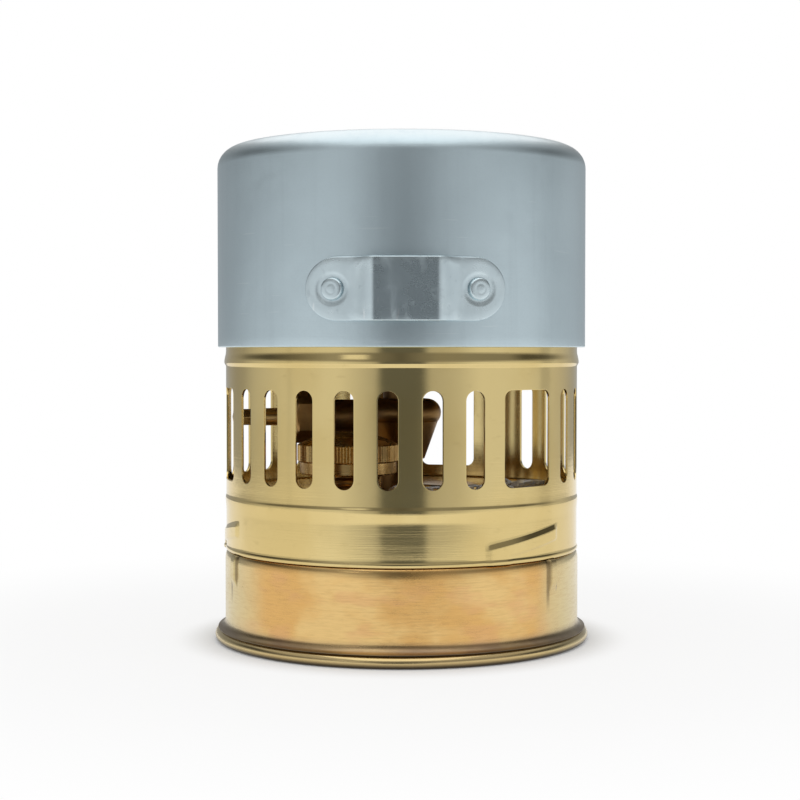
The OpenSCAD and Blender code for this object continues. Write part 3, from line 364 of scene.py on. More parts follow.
bottom_section = (
    [(0, 4.1), (20, 4.1), (34.6, 4.1)] + arc(34.8, 3.6, 0.5, 90, 63, 3) + arc(38.4, 3.1, 0.5, 243, 270, 3)
    + [(43.6, 2.6)] + arc(44.9, 2.6, 0.8, 180, 360, 10) + [(46.2, 2.6), (46.2, 3.5), (38.5, 3.5)]
    + [(35.3, 5.0), (0, 5.0)])
tank_bottom = new_piece("tank_bottom_brass", spin(bottom_section, 128), warm_brass)
fit(tank_bottom, "tank", "warm_brass", "tank_bottom")


# Filler neck: a turned brass neck that is soldered into the tank's top, with a flange round its foot and a
# coarse thread for the cap. Heat and fuel have dulled it.
def dark_paint(tree):
    """Heat-darkened brass: brown bloom over gold, with sooty clouds, lathe lines and dull spots."""
    bloom = tree.noise(70, 5, (1, 1, 0.8)).rise(0.36, 0.66)
    soot = tree.noise(110, 5, (1, 1, 1), (0.4, 0.2, 0.6)).rise(0.52, 0.72)
    colour = tree.mix(bloom, (0.50, 0.31, 0.115), (0.30, 0.165, 0.06))
    colour = tree.mix(soot * 0.6, colour, (0.115, 0.075, 0.045))
    lines = tree.noise(60, 2, (1, 1, 60))
    return colour, 0.27 + bloom * 0.1 + soot * 0.16 + lines * 0.05, lines * 0.1 + soot * 0.3


dark_brass = new_finish("dark_brass", dark_paint, 0.0001)
FILLER = Matrix.Translation(Vector((-13.484, -26.013, 0)) * MM)
thread_r, thread_depth, thread_z, thread_pitch = 8.0, 0.42, 41.4, 1.5
thread = [(thread_r - thread_depth * abs(math.sin(math.pi * k / 6)), thread_z + thread_pitch * k / 6)
          for k in range(26)]
neck_section = ([(6, 35.5), (8, 35.5), (8, TOP_Z), (9.3, TOP_Z + 0.02), (9.5, 39.75), (9.5, 40.7)]
                + arc(9.2, 40.75, 0.3, 0, 90, 3) + [(8.3, 41.05)] + thread + [(7.8, 48.2), (7.5, 48.6)]
                + [(6.3, 48.6), (6, 48.3)])
filler_neck = new_piece("filler_neck_brass", spin(neck_section, 96, FILLER, True), dark_brass)
fit(filler_neck, "tank", "dark_brass", "filler_neck")


# Cotton wick: a rope of three twisted strands that hangs from the valve into the fuel.
def cotton_paint(tree):
    """Off-white cotton yarn, stained a little yellow by fuel toward its foot."""
    yarn = tree.noise(1800, 3, (1, 1, 0.35))
    stain = tree.height().rise(0.012, 0.04)
    colour = tree.mix(stain, (0.62, 0.50, 0.30), (0.78, 0.73, 0.60))
    return colour, 0.92 + yarn * 0.05, yarn * 1.0


cotton = new_finish("cotton", cotton_paint, 0.0003, 0.0)
wick_foot_z, wick_l, wick_core_r, strand_out, layers, sides = 5.3, 45.15, 2.15, 0.73, 90, 36
twist = 0.42
rope = bmesh.new()
rings = []
for k in range(layers + 1):
    ring = []
    for j in range(sides):
        angle = 360 * j / sides
        strand = abs(math.cos(1.5 * (math.radians(angle) - twist * k))) ** 0.6
        place = at_angle(angle, wick_core_r + strand_out * strand, wick_foot_z + wick_l * k / layers)
        ring.append(rope.verts.new(place))
    rings.append(ring)
skin(rope, rings, ends=True)
bmesh.ops.recalc_face_normals(rope, faces=rope.faces)
wick = new_piece("cotton_wick_rope", rope, cotton, 70)
fit(wick, "tank", "cotton", "cotton_wick")


# Valve stem and burner: the vaporizer is turned from brass and screwed into the bowl on a soft washer. Its bulb
# carries the jet and the bell, a pressed funnel with air holes, and the spreader on top splits the flame.
def dress(finish, *nodes):
    """Gives solids of the frame a finish."""
    for node in nodes:
        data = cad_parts[node].data
        data.materials.clear()
        data.materials.append(finish)


def washer_paint(tree):
    """Dull grey soft metal, squeezed and a little pitted."""
    pits = tree.noise(900, 3).rise(0.5, 0.7)
    return tree.mix(pits, (0.26, 0.265, 0.28), (0.15, 0.15, 0.16)), 0.5 + pits * 0.2, pits * 1.0


def turned_paint(tree):
    """Bright machined brass with lathe lines and a faint brown film."""
    film = tree.noise(130, 4).rise(0.4, 0.7)
    lines = tree.noise(70, 2, (1, 1, 90))
    colour = tree.mix(film, (0.70, 0.47, 0.185), (0.50, 0.31, 0.115))
    return colour, 0.2 + film * 0.1 + lines * 0.08, lines * 0.1


turned_brass = new_finish("turned_brass", turned_paint, 0.0001)
soft_metal = new_finish("soft_metal", washer_paint, 0.0002)
dress(soft_metal, "stem_washer")
dress(dark_brass, "vaporizer", "burner_bell", "flame_spreader")
dress(turned_brass, "jet_nipple")


# Gland: a hexagon nut that squeezes graphite packing round the spindle, with a thin brass washer between them.
# The nut is turned from bar, so the corners of both its ends are chamfered.
def graphite_paint(tree):
    """Pressed graphite cord: nearly black, with a greasy grey shine."""
    grain = tree.noise(1500, 3)
    return tree.mix(grain, (0.02, 0.02, 0.022), (0.06, 0.06, 0.065)), 0.5 + grain * 0.1, grain * 1.0


graphite = new_finish("graphite", graphite_paint, 0.0002, 0.0)
dress(graphite, "graphite_packing")
dress(turned_brass, "packing_washer")
SPINDLE_START, SPINDLE_WAY = Vector((-0.68, 2.406, 59.1)) * MM, Vector((-0.9623, -0.2719, 0))
SPINDLE = Matrix.Translation(SPINDLE_START) @ SPINDLE_WAY.to_track_quat("Z", "Y").to_matrix().to_4x4()
bore_r, chamfer_r, flat_r, over_corners = 2.4, 5.5, 6.1, 9
nut_rows = ((21.6, bore_r), (21.6, chamfer_r), (21.9, flat_r), (22.35, over_corners), (28.75, over_corners),
            (29.2, flat_r), (29.5, chamfer_r), (29.5, bore_r))


def around(angle, r):
    """A point of an outline round an axis."""
    return r * math.cos(math.radians(angle)), r * math.sin(math.radians(angle))


nut = bmesh.new()
rings = []
for z, reach in nut_rows:
    ring = []
    for angle in range(0, 360, 5):
        hexagon_r = flat_r / math.cos(math.radians((angle + 30) % 60 - 30))
        ring.append(nut.verts.new(Vector((*around(angle, min(reach, hexagon_r)), z)) * MM))
    rings.append(ring)
skin(nut, rings, loop=True)
bmesh.ops.recalc_face_normals(nut, faces=nut.faces)
nut.transform(SPINDLE)
gland_nut = new_piece("gland_nut_brass", nut, dark_brass, 18)
fit(gland_nut, "tank", "dark_brass", "gland_nut")


# Spindle and needle: a steel spindle with a square end for the key, which stands on a corner at rest. Its pinion
# drives the rack of a fine needle that cleans the jet. Both are tinted by the burner's heat.
def tinted_paint(tree):
    """Steel that heat has tinted straw and brown."""
    bloom = tree.noise(90, 4).rise(0.35, 0.65)
    grain = tree.noise(300, 3)
    colour = tree.mix(bloom, (0.64, 0.45, 0.2), (0.44, 0.3, 0.15))
    return colour, 0.28 + bloom * 0.1 + grain * 0.08, grain * 0.4


def add_rod(mesh, outline, *layers):
    """Adds a closed rod to a mesh: an outline that is drawn to a scale at each place along the axis."""
    rings = [[mesh.verts.new(Vector((x * scale, y * scale, z)) * MM) for x, y in outline] for z, scale in layers]
    skin(mesh, rings, ends=True)


tinted_steel = new_finish("tinted_steel", tinted_paint, 0.0001)
dress(tinted_steel, "cleaning_needle")
teeth, root_r, tip_r, root_half, tip_half, pinion_end = 8, 1.26, 2.2, 14.9, 3.93, 1.5
pinion = [around(360 / teeth * k + turn, r) for k in range(teeth) for turn, r in (
    (-root_half, root_r), (-tip_half, tip_r), (tip_half, tip_r), (root_half, root_r))]
spindle_r, square_half, corner_cut, round_end, square_end = 2.3, 1.55, 2, 39.1, 45.1
square = [around(90 * k + turn, square_half / math.cos(math.radians(45 - corner_cut)))
          for k in range(4) for turn in (-corner_cut, corner_cut)]
rod = bmesh.new()
add_rod(rod, pinion, (-pinion_end, 1), (pinion_end, 1))
add_rod(rod, [around(7.5 * k, spindle_r) for k in range(48)],
        (pinion_end - 0.1, 1), (round_end - 0.4, 1), (round_end - 0.1, 0.97), (round_end, 0.88))
add_rod(rod, square, (round_end - 1, 1), (square_end - 0.4, 1), (square_end - 0.1, 0.93), (square_end, 0.8))
bmesh.ops.recalc_face_normals(rod, faces=rod.faces)
rod.transform(SPINDLE)
spindle = new_piece("spindle_steel", rod, tinted_steel, 25)
fit(spindle, "spindle", "steel", "spindle")


# Valve key: a flat steel key with a square hole. It lies on the tank's top, on a ring at one end of a chain of
# twelve wire links with a second ring at its other end. Every second link is turned on edge, so pairs repeat.
def steel_paint(tree):
    """Plated steel: pale grey, with a draw grain and a few brown spots."""
    grain = tree.noise(240, 3)
    spots = tree.noise(420, 4, (1, 1, 1), (0.3, 0.3, 0)).rise(0.64, 0.76)
    colour = tree.mix(grain, (0.86, 0.85, 0.83), (0.78, 0.77, 0.75))
    colour = tree.mix(spots * 0.5, colour, (0.27, 0.19, 0.13))
    return colour, 0.18 + grain * 0.12 + spots * 0.25, grain * 0.2 - spots * 0.3


steel = new_finish("steel", steel_paint, 0.00015, 0.7)
dress(steel, "valve_key", "key_ring", "chain_ring")
CHAIN_R, CHAIN_Z, CHAIN_TURN, LINK_STEP = 30, 41.3266, 72 - math.degrees(3.4 / 30), math.degrees(2.85 / 30)
LINK_HALF, LINK_BEND_R, LINK_WIRE_R = 0.8, 1.1, 0.4


def wire_loop(mesh, path, wire_r, place, sides=10):
    """Adds a closed loop of round wire that follows a path of points, in millimetres."""
    rings = []
    for k, spot in enumerate(path):
        ahead = (path[(k + 1) % len(path)] - path[k - 1]).normalized()
        across = Vector((0, 0, 1)).cross(ahead)
        ring = []
        for j in range(sides):
            a = math.tau * j / sides
            point = spot + (across * math.cos(a) + Vector((0, 0, 1)) * math.sin(a)) * wire_r
            ring.append(mesh.verts.new(place @ (point * MM)))
        rings.append(ring)
    skin(mesh, rings, loop=True)


bend = [Vector((x, y, 0)) for x, y in arc(LINK_HALF, 0, LINK_BEND_R, -90, 90, 10)]
link_path = bend + [-point for point in bend]
links = bmesh.new()
for turn, tilt in ((0, -45), (-LINK_STEP, 45)):
    place = Matrix.Rotation(math.radians(turn), 4, "Z") @ Matrix.Translation(Vector((0, -CHAIN_R, CHAIN_Z)) * MM)
    wire_loop(links, link_path, LINK_WIRE_R, place @ Matrix.Rotation(math.radians(tilt), 4, "X"))
key_chain = new_piece("key_chain_links", links, steel, 60)
run_group(key_chain, round_axis, Count=6, First=math.radians(CHAIN_TURN), Step=math.radians(-2 * LINK_STEP),
          Finish=steel)
make_plain(key_chain, crease=60)
fit(key_chain, "tank", "steel", "key_chain")


# Filler cap: a turned brass cap with a domed top and fine straight knurling, 96 teeth round its skirt. One tooth
# is made and repeated. A rubber gasket sits under it on the neck's lip.
def rubber_paint(tree):
    """Black fuel-proof rubber, a little dusty."""
    dust = tree.noise(700, 3)
    return tree.mix(dust, (0.012, 0.012, 0.012), (0.035, 0.034, 0.033)), 0.6 + dust * 0.15, dust * 1.0


rubber = new_finish("rubber", rubber_paint, 0.0002, 0.0)
dress(rubber, "filler_gasket")
CAP_R, CAP_BODY_R, CAP_CORE_R, CAP_TOP_Z, DOME_H, TEETH = 12.9, 12.5, 12.2, 56.2, 3, 96
half_tooth = 180 / TEETH
dome_r = (CAP_CORE_R ** 2 + DOME_H ** 2) / (2 * DOME_H)
dome = [(r, CAP_TOP_Z - dome_r + math.sqrt(dome_r ** 2 - r ** 2)) for r in (12.0, 11.5, 10.5, 9, 7.5, 6, 4.5, 3.2)]
cap_section = (
    [(1, 42.5), (4.0, 42.5), (4.2, 42.7), (4.2, 49.9), (8.2, 49.9), (8.2, 46.0), (8.5, 45.5), (11.8, 45.5)]
    + [(CAP_CORE_R, 45.9), (CAP_CORE_R, 48.55), (CAP_BODY_R - 0.1, 48.7), (CAP_BODY_R, 48.95), (CAP_BODY_R, 51)]
    + [(CAP_BODY_R, 52.85), (CAP_BODY_R - 0.1, 53.1), (CAP_CORE_R, 53.2)] + dome
    + [(2.8, 56.04), (2.6, 55.85), (2.6, 43.7), (1, 43.7)])


def press_tooth(angle, r, z):
    """The crest of a knurl tooth, at its sector's middle."""
    crest = 1 - abs(angle) / half_tooth
    return (CAP_R - CAP_BODY_R) * crest if r >= CAP_BODY_R - 0.01 else 0


tooth = sweep(cap_section, (-half_tooth, -0.15 * half_tooth, 0.15 * half_tooth, half_tooth), press_tooth)
filler_cap = new_piece("filler_cap_brass", tooth, turned_brass)
run_group(filler_cap, round_axis, Count=TEETH, First=0.0, Step=math.tau / TEETH, Finish=turned_brass)
make_plain(filler_cap, crease=24)
filler_cap.data.transform(FILLER)
fit(filler_cap, "filler_cap", "brass", "filler_cap")


# Relief valve: a brass plunger with a rubber pad, pressed on its seat in the cap by a small steel spring under a
# screwed retainer. The spring's wire is wound five turns.
dress(turned_brass, "valve_retainer", "relief_plunger")
dress(rubber, "relief_pad")
turns, turn_steps, sides, spring_r, spring_wire_r, spring_z, spring_l = 5, 28, 8, 1.75, 0.3, 45.85, 6
coil = bmesh.new()
rings = []
for k in range(turns * turn_steps + 1):
    climb = spring_wire_r + (spring_l - 2 * spring_wire_r) * k / (turns * turn_steps)
    ring = []
    for j in range(sides):
        out, up = around(360 * j / sides, spring_wire_r)
        x, y = around(360 * k / turn_steps, spring_r + out)
        ring.append(coil.verts.new(Vector((x, y, spring_z + climb + up)) * MM))
    rings.append(ring)
skin(coil, rings, ends=True)
bmesh.ops.recalc_face_normals(coil, faces=coil.faces)
coil.transform(FILLER)
valve_spring = new_piece("valve_spring_wire", coil, steel, 50)
fit(valve_spring, "filler_cap", "steel", "valve_spring")
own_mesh(valve_spring)


# Windscreen: a polished brass tube with a rolled hem, two beads, and a ring of air slots and windows.
# Its top turns inward to a flange that is curled round a wire. Three slanted grooves, pressed out at the
# lower edge, hook on the tank's studs. A third of it is built up from slot cells and one window cell.
def screen_paint(tree):
    """Pale polished brass: faint cloudy patches, rolled lines round the tube, a few handling marks."""
    cloud = tree.noise(42, 4, (1, 1, 0.7)).rise(0.4, 0.68)
    marks = tree.noise(260, 4, (1, 1, 2.2), (0.2, 0.4, 0)).rise(0.62, 0.74)
    colour = tree.mix(cloud, (0.76, 0.60, 0.275), (0.70, 0.535, 0.225))
    colour = tree.mix(marks * 0.12, colour, (0.45, 0.33, 0.13))
    lines = tree.noise(30, 3, (1, 1, 220))
    roughness = 0.07 + cloud * 0.04 + lines * 0.06 + marks * 0.06
    waves = tree.noise(28, 1, (1, 1, 0.6), (0.1, 0.8, 0.3))
    return colour, roughness, waves * 1.0 + lines * 0.02


pale_brass = new_finish("pale_brass", screen_paint, 0.0004)
SCREEN_R, SCREEN_WALL = 46.8, 0.6
SLOT_STEP, SLOT_R, SLOT_HALF, SLOT_Z = 360 / 27, 2.5, 9.525, 54.825
WINDOW_TURN, GROOVE_TURN, GROOVE_OUT = 42.6, 42.5, 0.45
COLUMNS, SIDES = 14, 18


def bead(middle, reach, low, high):
    """Rows of a bead that is rolled out of the wall: a soft wave that reaches down by low and up by high."""
    return [(SCREEN_R + reach * (0.5 + 0.5 * math.cos(math.pi * t)), middle + t * (high if t > 0 else low))
            for t in (k / 8 for k in range(-8, 9))]


hem = [(0.04, 24.12), (0.16, 24.3), (0.24, 24.65), (0.2, 24.98), (0.08, 25.2), (0, 25.4)]
low_rows = [(SCREEN_R + out, z) for out, z in hem]
groove_rows = (25.9, 26.5, 27.1, 27.6, 28, 28.2, 28.5, 28.8, 29, 29.7, 30.4, 31, 31.3, 31.4, 31.65, 31.9, 32.15,
               32.4, 32.5, 32.8, 33.4, 34)
low_rows += [(SCREEN_R, z) for z in groove_rows] + bead(37.7, 0.22, 3.4, 1.3) + [(SCREEN_R, 40.8)]
high_rows = [(SCREEN_R, 69.2), (SCREEN_R, 70.8)] + bead(73.5, 0.45, 1.2, 3)
high_rows += [(SCREEN_R, z) for z in (82, 90, 98, 104)] + arc(41.8, 107, 5, 0, 90, 9)
high_rows += [(39, 112), (36, 112)] + arc(33, 110.5, 1.5, 90, 315, 14)


def slot_edge(columns, sides):
    """The rim of an air slot, round at both ends: width and height from the slot's middle, anticlockwise."""
    bottom = arc(0, -SLOT_HALF, SLOT_R, 180, 360, columns)[:-1]
    half = bottom + [(SLOT_R, -SLOT_HALF + 2 * SLOT_HALF * k / sides) for k in range(sides)]
    return half + [(-x, -z) for x, z in half]


def window_edge(columns, sides):
    """The rim of a window with rounded corners, in the same order as a slot's."""
    w, h, corner, bend = 8.1, 12.025, 2.2, 4
    left = arc(corner - w, corner - h, corner, 225, 270, bend)[:-1]
    run = columns - 2 * bend
    low = [(-w + corner + (2 * w - 2 * corner) * k / run, -h) for k in range(run)]
    right = arc(w - corner, corner - h, corner, 270, 360, 2 * bend)[:-1]
    rise = sides - 2 * bend
    up = [(w, -h + corner + (2 * h - 2 * corner) * k / rise) for k in range(rise)]
    top = arc(w - corner, h - corner, corner, 0, 45, bend)[:-1]
    half = left + low + right + up + top
    return half + [(-x, -z) for x, z in half]


def wall_cell(edge_of, columns, sides, width):
    """A strip of the wall from hem to curl, with one hole in it: plain rows, then rings round the hole, then rows."""
    mesh = bmesh.new()
    low_z, high_z = low_rows[-1][1], high_rows[0][1]
    turns = [width * (k / columns - 0.5) for k in range(columns + 1)]
    low = [[mesh.verts.new(at_angle(a, r, z)) for a in turns] for r, z in low_rows]
    high = [[mesh.verts.new(at_angle(a, r, z)) for a in turns] for r, z in high_rows]
    heights = [low_z + (high_z - low_z) * k / sides for k in range(sides + 1)]
    right = [mesh.verts.new(at_angle(width / 2, SCREEN_R, z)) for z in heights[1:-1]]
    left = [mesh.verts.new(at_angle(-width / 2, SCREEN_R, z)) for z in heights[1:-1]]
    frame_ring = low[-1] + right + high[0][::-1] + left[::-1]
    rings = [frame_ring]
    for share in (0.4, 0.72, 0.92, 1):
        ring = []
        for vert, (x, z) in zip(frame_ring, edge_of(columns, sides)):
            start = Vector((math.degrees(math.atan2(vert.co.x, -vert.co.y)), vert.co.z / MM))
            place = start.lerp(Vector((math.degrees(x / SCREEN_R), SLOT_Z + z)), share)
            ring.append(mesh.verts.new(at_angle(place[0], SCREEN_R, place[1])))
        rings.append(ring)
    skin(mesh, low, closed=False)
    skin(mesh, high, closed=False)
    skin(mesh, rings)
    return mesh


def press_grooves(tree, screen, first, reach):
    """Presses three bayonet grooves out of the wall: slanted channels, each with an entry at the lower edge. The
    rows of the mesh are bent to run along each channel, so that its edges are straight."""
    start, end, entry_end, stop, slope, low_z, high_z, row_z = -12.6, 11.4, -6.0, 9.33, 0.155, 28.5, 31.9, 34.3
    spot = tree.node("GeometryNodeInputPosition", {}, {})
    x = tree.node("ShaderNodeSeparateXYZ", {}, {"Vector": spot})
    y, up = x.other("Y"), x.other("Z") * (1 / MM)
    turn = tree.math("ARCTAN2", x, 0 - y) - first
    along = turn.math("WRAP", math.radians(THIRD / 2), math.radians(-THIRD / 2)) * SCREEN_R
    near = along.rise(-20, -13) * (18 - along).rise(0, 6)
    climb = (along - stop) * slope * near
    low_climb = climb.math("MAXIMUM", -2.3)
    climb = low_climb + (climb - low_climb) * up.rise(29, 30.9, "LINEAR")
    climb = climb * up.rise(25.4, 28.0, "LINEAR") * (row_z - up).rise(0, 1.8, "LINEAR")
    inside = (along - start).rise(-0.7, 0.7) * (end - along).rise(-0.5, 0.5)
    under = (high_z - up).rise(-0.6, 0.6, "LINEAR")
    entry = (entry_end - along).rise(-0.5, 0.5)
    over = (up - low_z).rise(-0.4, 0.4).math("MAXIMUM", entry)
    flat = tree.node("ShaderNodeVectorMath", {"operation": "MULTIPLY"}, {0: spot, 1: (1, 1, 0)})
    outward = tree.node("ShaderNodeVectorMath", {"operation": "NORMALIZE"}, {0: flat})
    push = tree.node("ShaderNodeVectorMath", {"operation": "SCALE"},
                     {0: outward, "Scale": inside * under * over * reach})
    lift = tree.node("ShaderNodeCombineXYZ", {}, {"Z": climb * MM})
    shift = tree.node("ShaderNodeVectorMath", {"operation": "ADD"}, {0: push, 1: lift})
    return tree.node("GeometryNodeSetPosition", {}, {"Geometry": screen, "Offset": shift})


screen_group = new_group("slotted screen", {
    "Geometry": "NodeSocketGeometry", "Window": "NodeSocketObject", "Slots": "NodeSocketInt",
    "Slot step": "NodeSocketFloat", "Windows": "NodeSocketInt", "First window": "NodeSocketFloat",
    "Window step": "NodeSocketFloat", "First groove": "NodeSocketFloat", "Groove reach": "NodeSocketFloat",
    "Finish": "NodeSocketMaterial"})
tree = Tree(screen_group)
given = tree.node("NodeGroupInput", {}, {})
step = given.other("Slot step")
slots = copies_round_axis(tree, given, given.other("Slots"), step * 1.5, step)
window = tree.node("GeometryNodeObjectInfo", {}, {"Object": given.other("Window")}, "Geometry")
third = tree.node("GeometryNodeJoinGeometry", {}, {"Geometry": slots})
tree.nodes.links.new(window.socket, third.socket.node.inputs[0])
screen = copies_round_axis(tree, third, given.other("Windows"), given.other("First window"),
                           given.other("Window step"))
screen = tree.node("GeometryNodeMergeByDistance", {}, {"Geometry": screen, "Distance": 0.002 * MM})
screen = press_grooves(tree, screen, given.other("First groove"), given.other("Groove reach"))
screen = tree.node("GeometryNodeSetMaterial", {}, {"Geometry": screen, "Material": given.other("Finish")})
tree.node("NodeGroupOutput", {}, {"Geometry": screen})



def thicken(piece, thickness):
    """Gives a sheet its thickness, on its inner side."""
    wall = piece.modifiers.new("wall", "SOLIDIFY")
    wall.thickness = thickness * MM
    wall.offset = -1


def soften(piece, width, segments):
    """Rounds a piece's sharp edges."""
    edges = piece.modifiers.new("edges", "BEVEL")
    edges.width = width * MM
    edges.segments = segments
    edges.limit_method = "ANGLE"
    edges.angle_limit = math.radians(60)


window_cell = new_piece("window_cell", wall_cell(window_edge, 2 * COLUMNS, SIDES, 2 * SLOT_STEP), pale_brass)
windscreen = new_piece("windscreen_brass", wall_cell(slot_edge, COLUMNS, SIDES, SLOT_STEP), pale_brass)
run_group(windscreen, screen_group, **{
    "Window": window_cell, "Slots": 7, "Slot step": math.radians(SLOT_STEP), "Windows": 3,
    "First window": math.radians(WINDOW_TURN), "Window step": math.radians(THIRD),
    "First groove": math.radians(GROOVE_TURN), "Groove reach": GROOVE_OUT * MM, "Finish": pale_brass})
thicken(windscreen, SCREEN_WALL)
make_plain(windscreen)
bpy.data.objects.remove(window_cell)
soften(windscreen, 0.13, 2)
make_plain(windscreen, crease=40)
fit(windscreen, "windscreen", "pale_brass", "windscreen")


# Rim wire: a ring of steel wire inside the curled rim, which stiffens the windscreen's mouth.
dress(steel, "rim_wire")


# Pivot pins: three steel pins, headed over the flange, that the pot supports swing on.
PIN_R, PIN_TURN = 39.5, 15
pin_section = ([(0, 110.55), (2.3, 110.55), (2.5, 110.75), (2.5, 111.2), (2.35, 111.35), (1.6, 111.35)]
               + [(1.6, 120.5), (2.35, 120.5), (2.5, 120.65), (2.5, 121.0), (2.2, 121.4), (1.5, 121.57), (0, 121.6)])
pins = new_piece("pivot_pin_set", spin(pin_section, 40, Matrix.Translation((0, -PIN_R * MM, 0))), steel)
run_group(pins, round_axis, Count=3, First=math.radians(PIN_TURN), Step=math.radians(THIRD), Finish=steel)
make_plain(pins)
fit(pins, "windscreen", "steel", "pivot_pin_1", "pivot_pin_2", "pivot_pin_3")


# Pot supports: three steel plates, each rolled into a barrel round its pin. They are folded along the rim while
# the cup is on, and swing in over the flame to carry a pot.
barrel_section = [(1.8, 0.15), (1.95, 0), (2.75, 0), (2.9, 0.15), (2.9, 7.85), (2.75, 8), (1.95, 8), (1.8, 7.85)]
plate_corners = ((2.4, 0.5, 0), (9.6, 0.5, 1.1), (24, 10.5, 1.1), (24, 16.5, 1.1), (3.3, 16.5, 1.1), (3.3, 7.5, 0.4),
                 (2.4, 7.5, 0))
PLATE_FACE, PLATE_EDGE, PLATE_Z, FOLD_TURN = 0.6, 0.2, 112.3, 18


def round_off(corners, steps=6):
    """The outline of a plate, from its corners and the radius that each is rounded to."""
    outline = []
    for k, (x, z, radius) in enumerate(corners):
        corner = Vector((x, z))
        back, ahead = (Vector(corners[j][:2]) - corner for j in (k - 1, (k + 1) % len(corners)))
        back.normalize()
        ahead.normalize()
        half = back.angle(ahead) / 2
        middle = corner + (back + ahead).normalized() * radius / math.sin(half)
        for j in range(steps + 1 if radius else 1):
            spoke = back.lerp(ahead, j / steps) * radius / math.tan(half) + corner - middle
            outline.append(middle + spoke.normalized() * radius)
    return outline


def drawn_in(outline, depth):
    """An outline that runs anticlockwise, moved inward."""
    moved = []
    for k, point in enumerate(outline):
        into, out = (point - outline[k - 1]).normalized(), (outline[(k + 1) % len(outline)] - point).normalized()
        into, out = Vector((-into.y, into.x)), Vector((-out.y, out.x))
        moved.append(point + (into + out) * depth / (1 + into.dot(out)))
    return moved


plate_outline = round_off(plate_corners)
for i in (1, 2, 3):
    support = spin(barrel_section, 40, Matrix(), True)
    layers = [(drawn_in(plate_outline, PLATE_EDGE * share), PLATE_FACE - PLATE_EDGE * (1 - share) ** 2)
              for share in (1, 0.35, 0)]
    layers = [(flat, -y) for flat, y in layers] + layers[::-1]
    rings = [[support.verts.new(Vector((v.x, y, v.y)) * MM) for v in flat] for flat, y in layers]
    skin(support, rings, ends=True)
    bmesh.ops.recalc_face_normals(support, faces=support.faces)
    turn, fold = (Matrix.Rotation(math.radians(a), 4, "Z") for a in (PIN_TURN + THIRD * (i - 1), FOLD_TURN))
    support.transform(turn @ Matrix.Translation(Vector((0, -PIN_R, PLATE_Z)) * MM) @ fold)
    pot_support = new_piece(f"pot_support_{i}_plate", support, steel)
    fit(pot_support, f"pot_support_{i}", "steel", f"pot_support_{i}")


# Cup: a drawn aluminium cup that sits upside down over the burner as a lid. Its satin skin is brushed round
# and round, with a fine bead of bare metal where its mouth was trimmed.
def cup_paint(tree):
    """Satin aluminium: fine lines round the cup, faint upright streaks, cloudy handling marks and hair scratches. Its
    top is painted paler and more neutral, a painted highlight."""
    lines = tree.noise(26, 3, (1, 1, 420))
    streaks = tree.noise(420, 3, (1, 1, 0.04))
    grain = tree.noise(1600, 2)
    cloud = tree.noise(30, 4, (1, 1, 0.8), (0.5, 0.3, 0)).rise(0.36, 0.7)
    height = tree.height()
    scratch = tree.noise(60, 1, (1, 1, 16), (0, 0.6, 0.1)).rise(0.735, 0.76) * (0.124 - height).rise(0, 0.004)
    colour = tree.mix(cloud, (0.62, 0.735, 0.78), (0.58, 0.69, 0.735))
    # Painted highlight: the top and its rounded edge are painted paler and more neutral.
    colour = tree.mix(height.rise(0.1262, 0.1288) * 0.6, colour, (0.7, 0.735, 0.745))
    colour = tree.mix(streaks.rise(0.5, 0.75) * 0.25 + grain.rise(0.45, 0.7) * 0.12, colour, (0.53, 0.63, 0.675))
    colour = tree.mix(scratch * 0.2, colour, (0.80, 0.87, 0.89))
    roughness = 0.28 + lines * 0.08 + cloud * 0.05 + streaks * 0.06
    return colour, roughness, lines * 0.05 + cloud * 0.5 + grain * 0.02


satin_aluminium = new_finish("satin_aluminium", cup_paint, 0.0003)
CUP_R, CUP_WALL, CUP_ROUND, ROUND_Z = 48.9, 0.9, 5.56, 124.44
cup_top = [(0, 129.85), (18, 129.87), (36, 129.97)] + arc(CUP_R - CUP_ROUND, ROUND_Z, CUP_ROUND, 90, 0, 14)
cup_side = [(CUP_R, z) for z in (112, 100, 90, 80)]
cup_lip = arc(CUP_R - 0.35, 77.79, 0.35, 0, -90, 4) + arc(CUP_R - 0.6, 77.74, 0.3, -90, -180, 4)
cup_inside = [(CUP_R - CUP_WALL, z) for z in (80, 100, 112)]
cup_inside += arc(CUP_R - CUP_ROUND, ROUND_Z, CUP_ROUND - CUP_WALL, 0, 90, 10) + [(36, 129.1), (0, 129.0)]
cup = new_piece("cup_aluminium", spin(cup_top + cup_side + cup_lip + cup_inside, 192), satin_aluminium)
fit(cup, "cup", "aluminium", "cup")


# Handle bracket: an aluminium strip, bent over a flat bridge that a loose handle slides behind. Its feet hug the
# cup and are dished round the two rivets.
def bracket_paint(tree):
    """Pressed aluminium: as the cup, but a little smoother, with faint press lines and small dull marks."""
    cloud = tree.noise(120, 4).rise(0.35, 0.7)
    smear = tree.noise(150, 3, (1.6, 1, 0.5), (0.7, 0.1, 0.25)).rise(0.5, 0.66)
    marks = tree.noise(420, 3, (1, 1, 1), (0.2, 0, 0.3)).rise(0.62, 0.72)
    lines = tree.noise(34, 3, (1, 1, 300))
    colour = tree.mix(cloud, (0.65, 0.755, 0.79), (0.605, 0.71, 0.75))
    colour = tree.mix(marks * 0.2, colour, (0.36, 0.43, 0.47))
    hairs = tree.noise(95, 1, (9, 1, 1.4), (0.1, 0, 0.4)).rise(0.7, 0.74)
    colour = tree.mix(hairs * 0.5, colour, (0.86, 0.92, 0.94))
    return colour, 0.24 + cloud * 0.06 + smear * 0.14 + marks * 0.08 + lines * 0.04, cloud * 0.1 + lines * 0.05


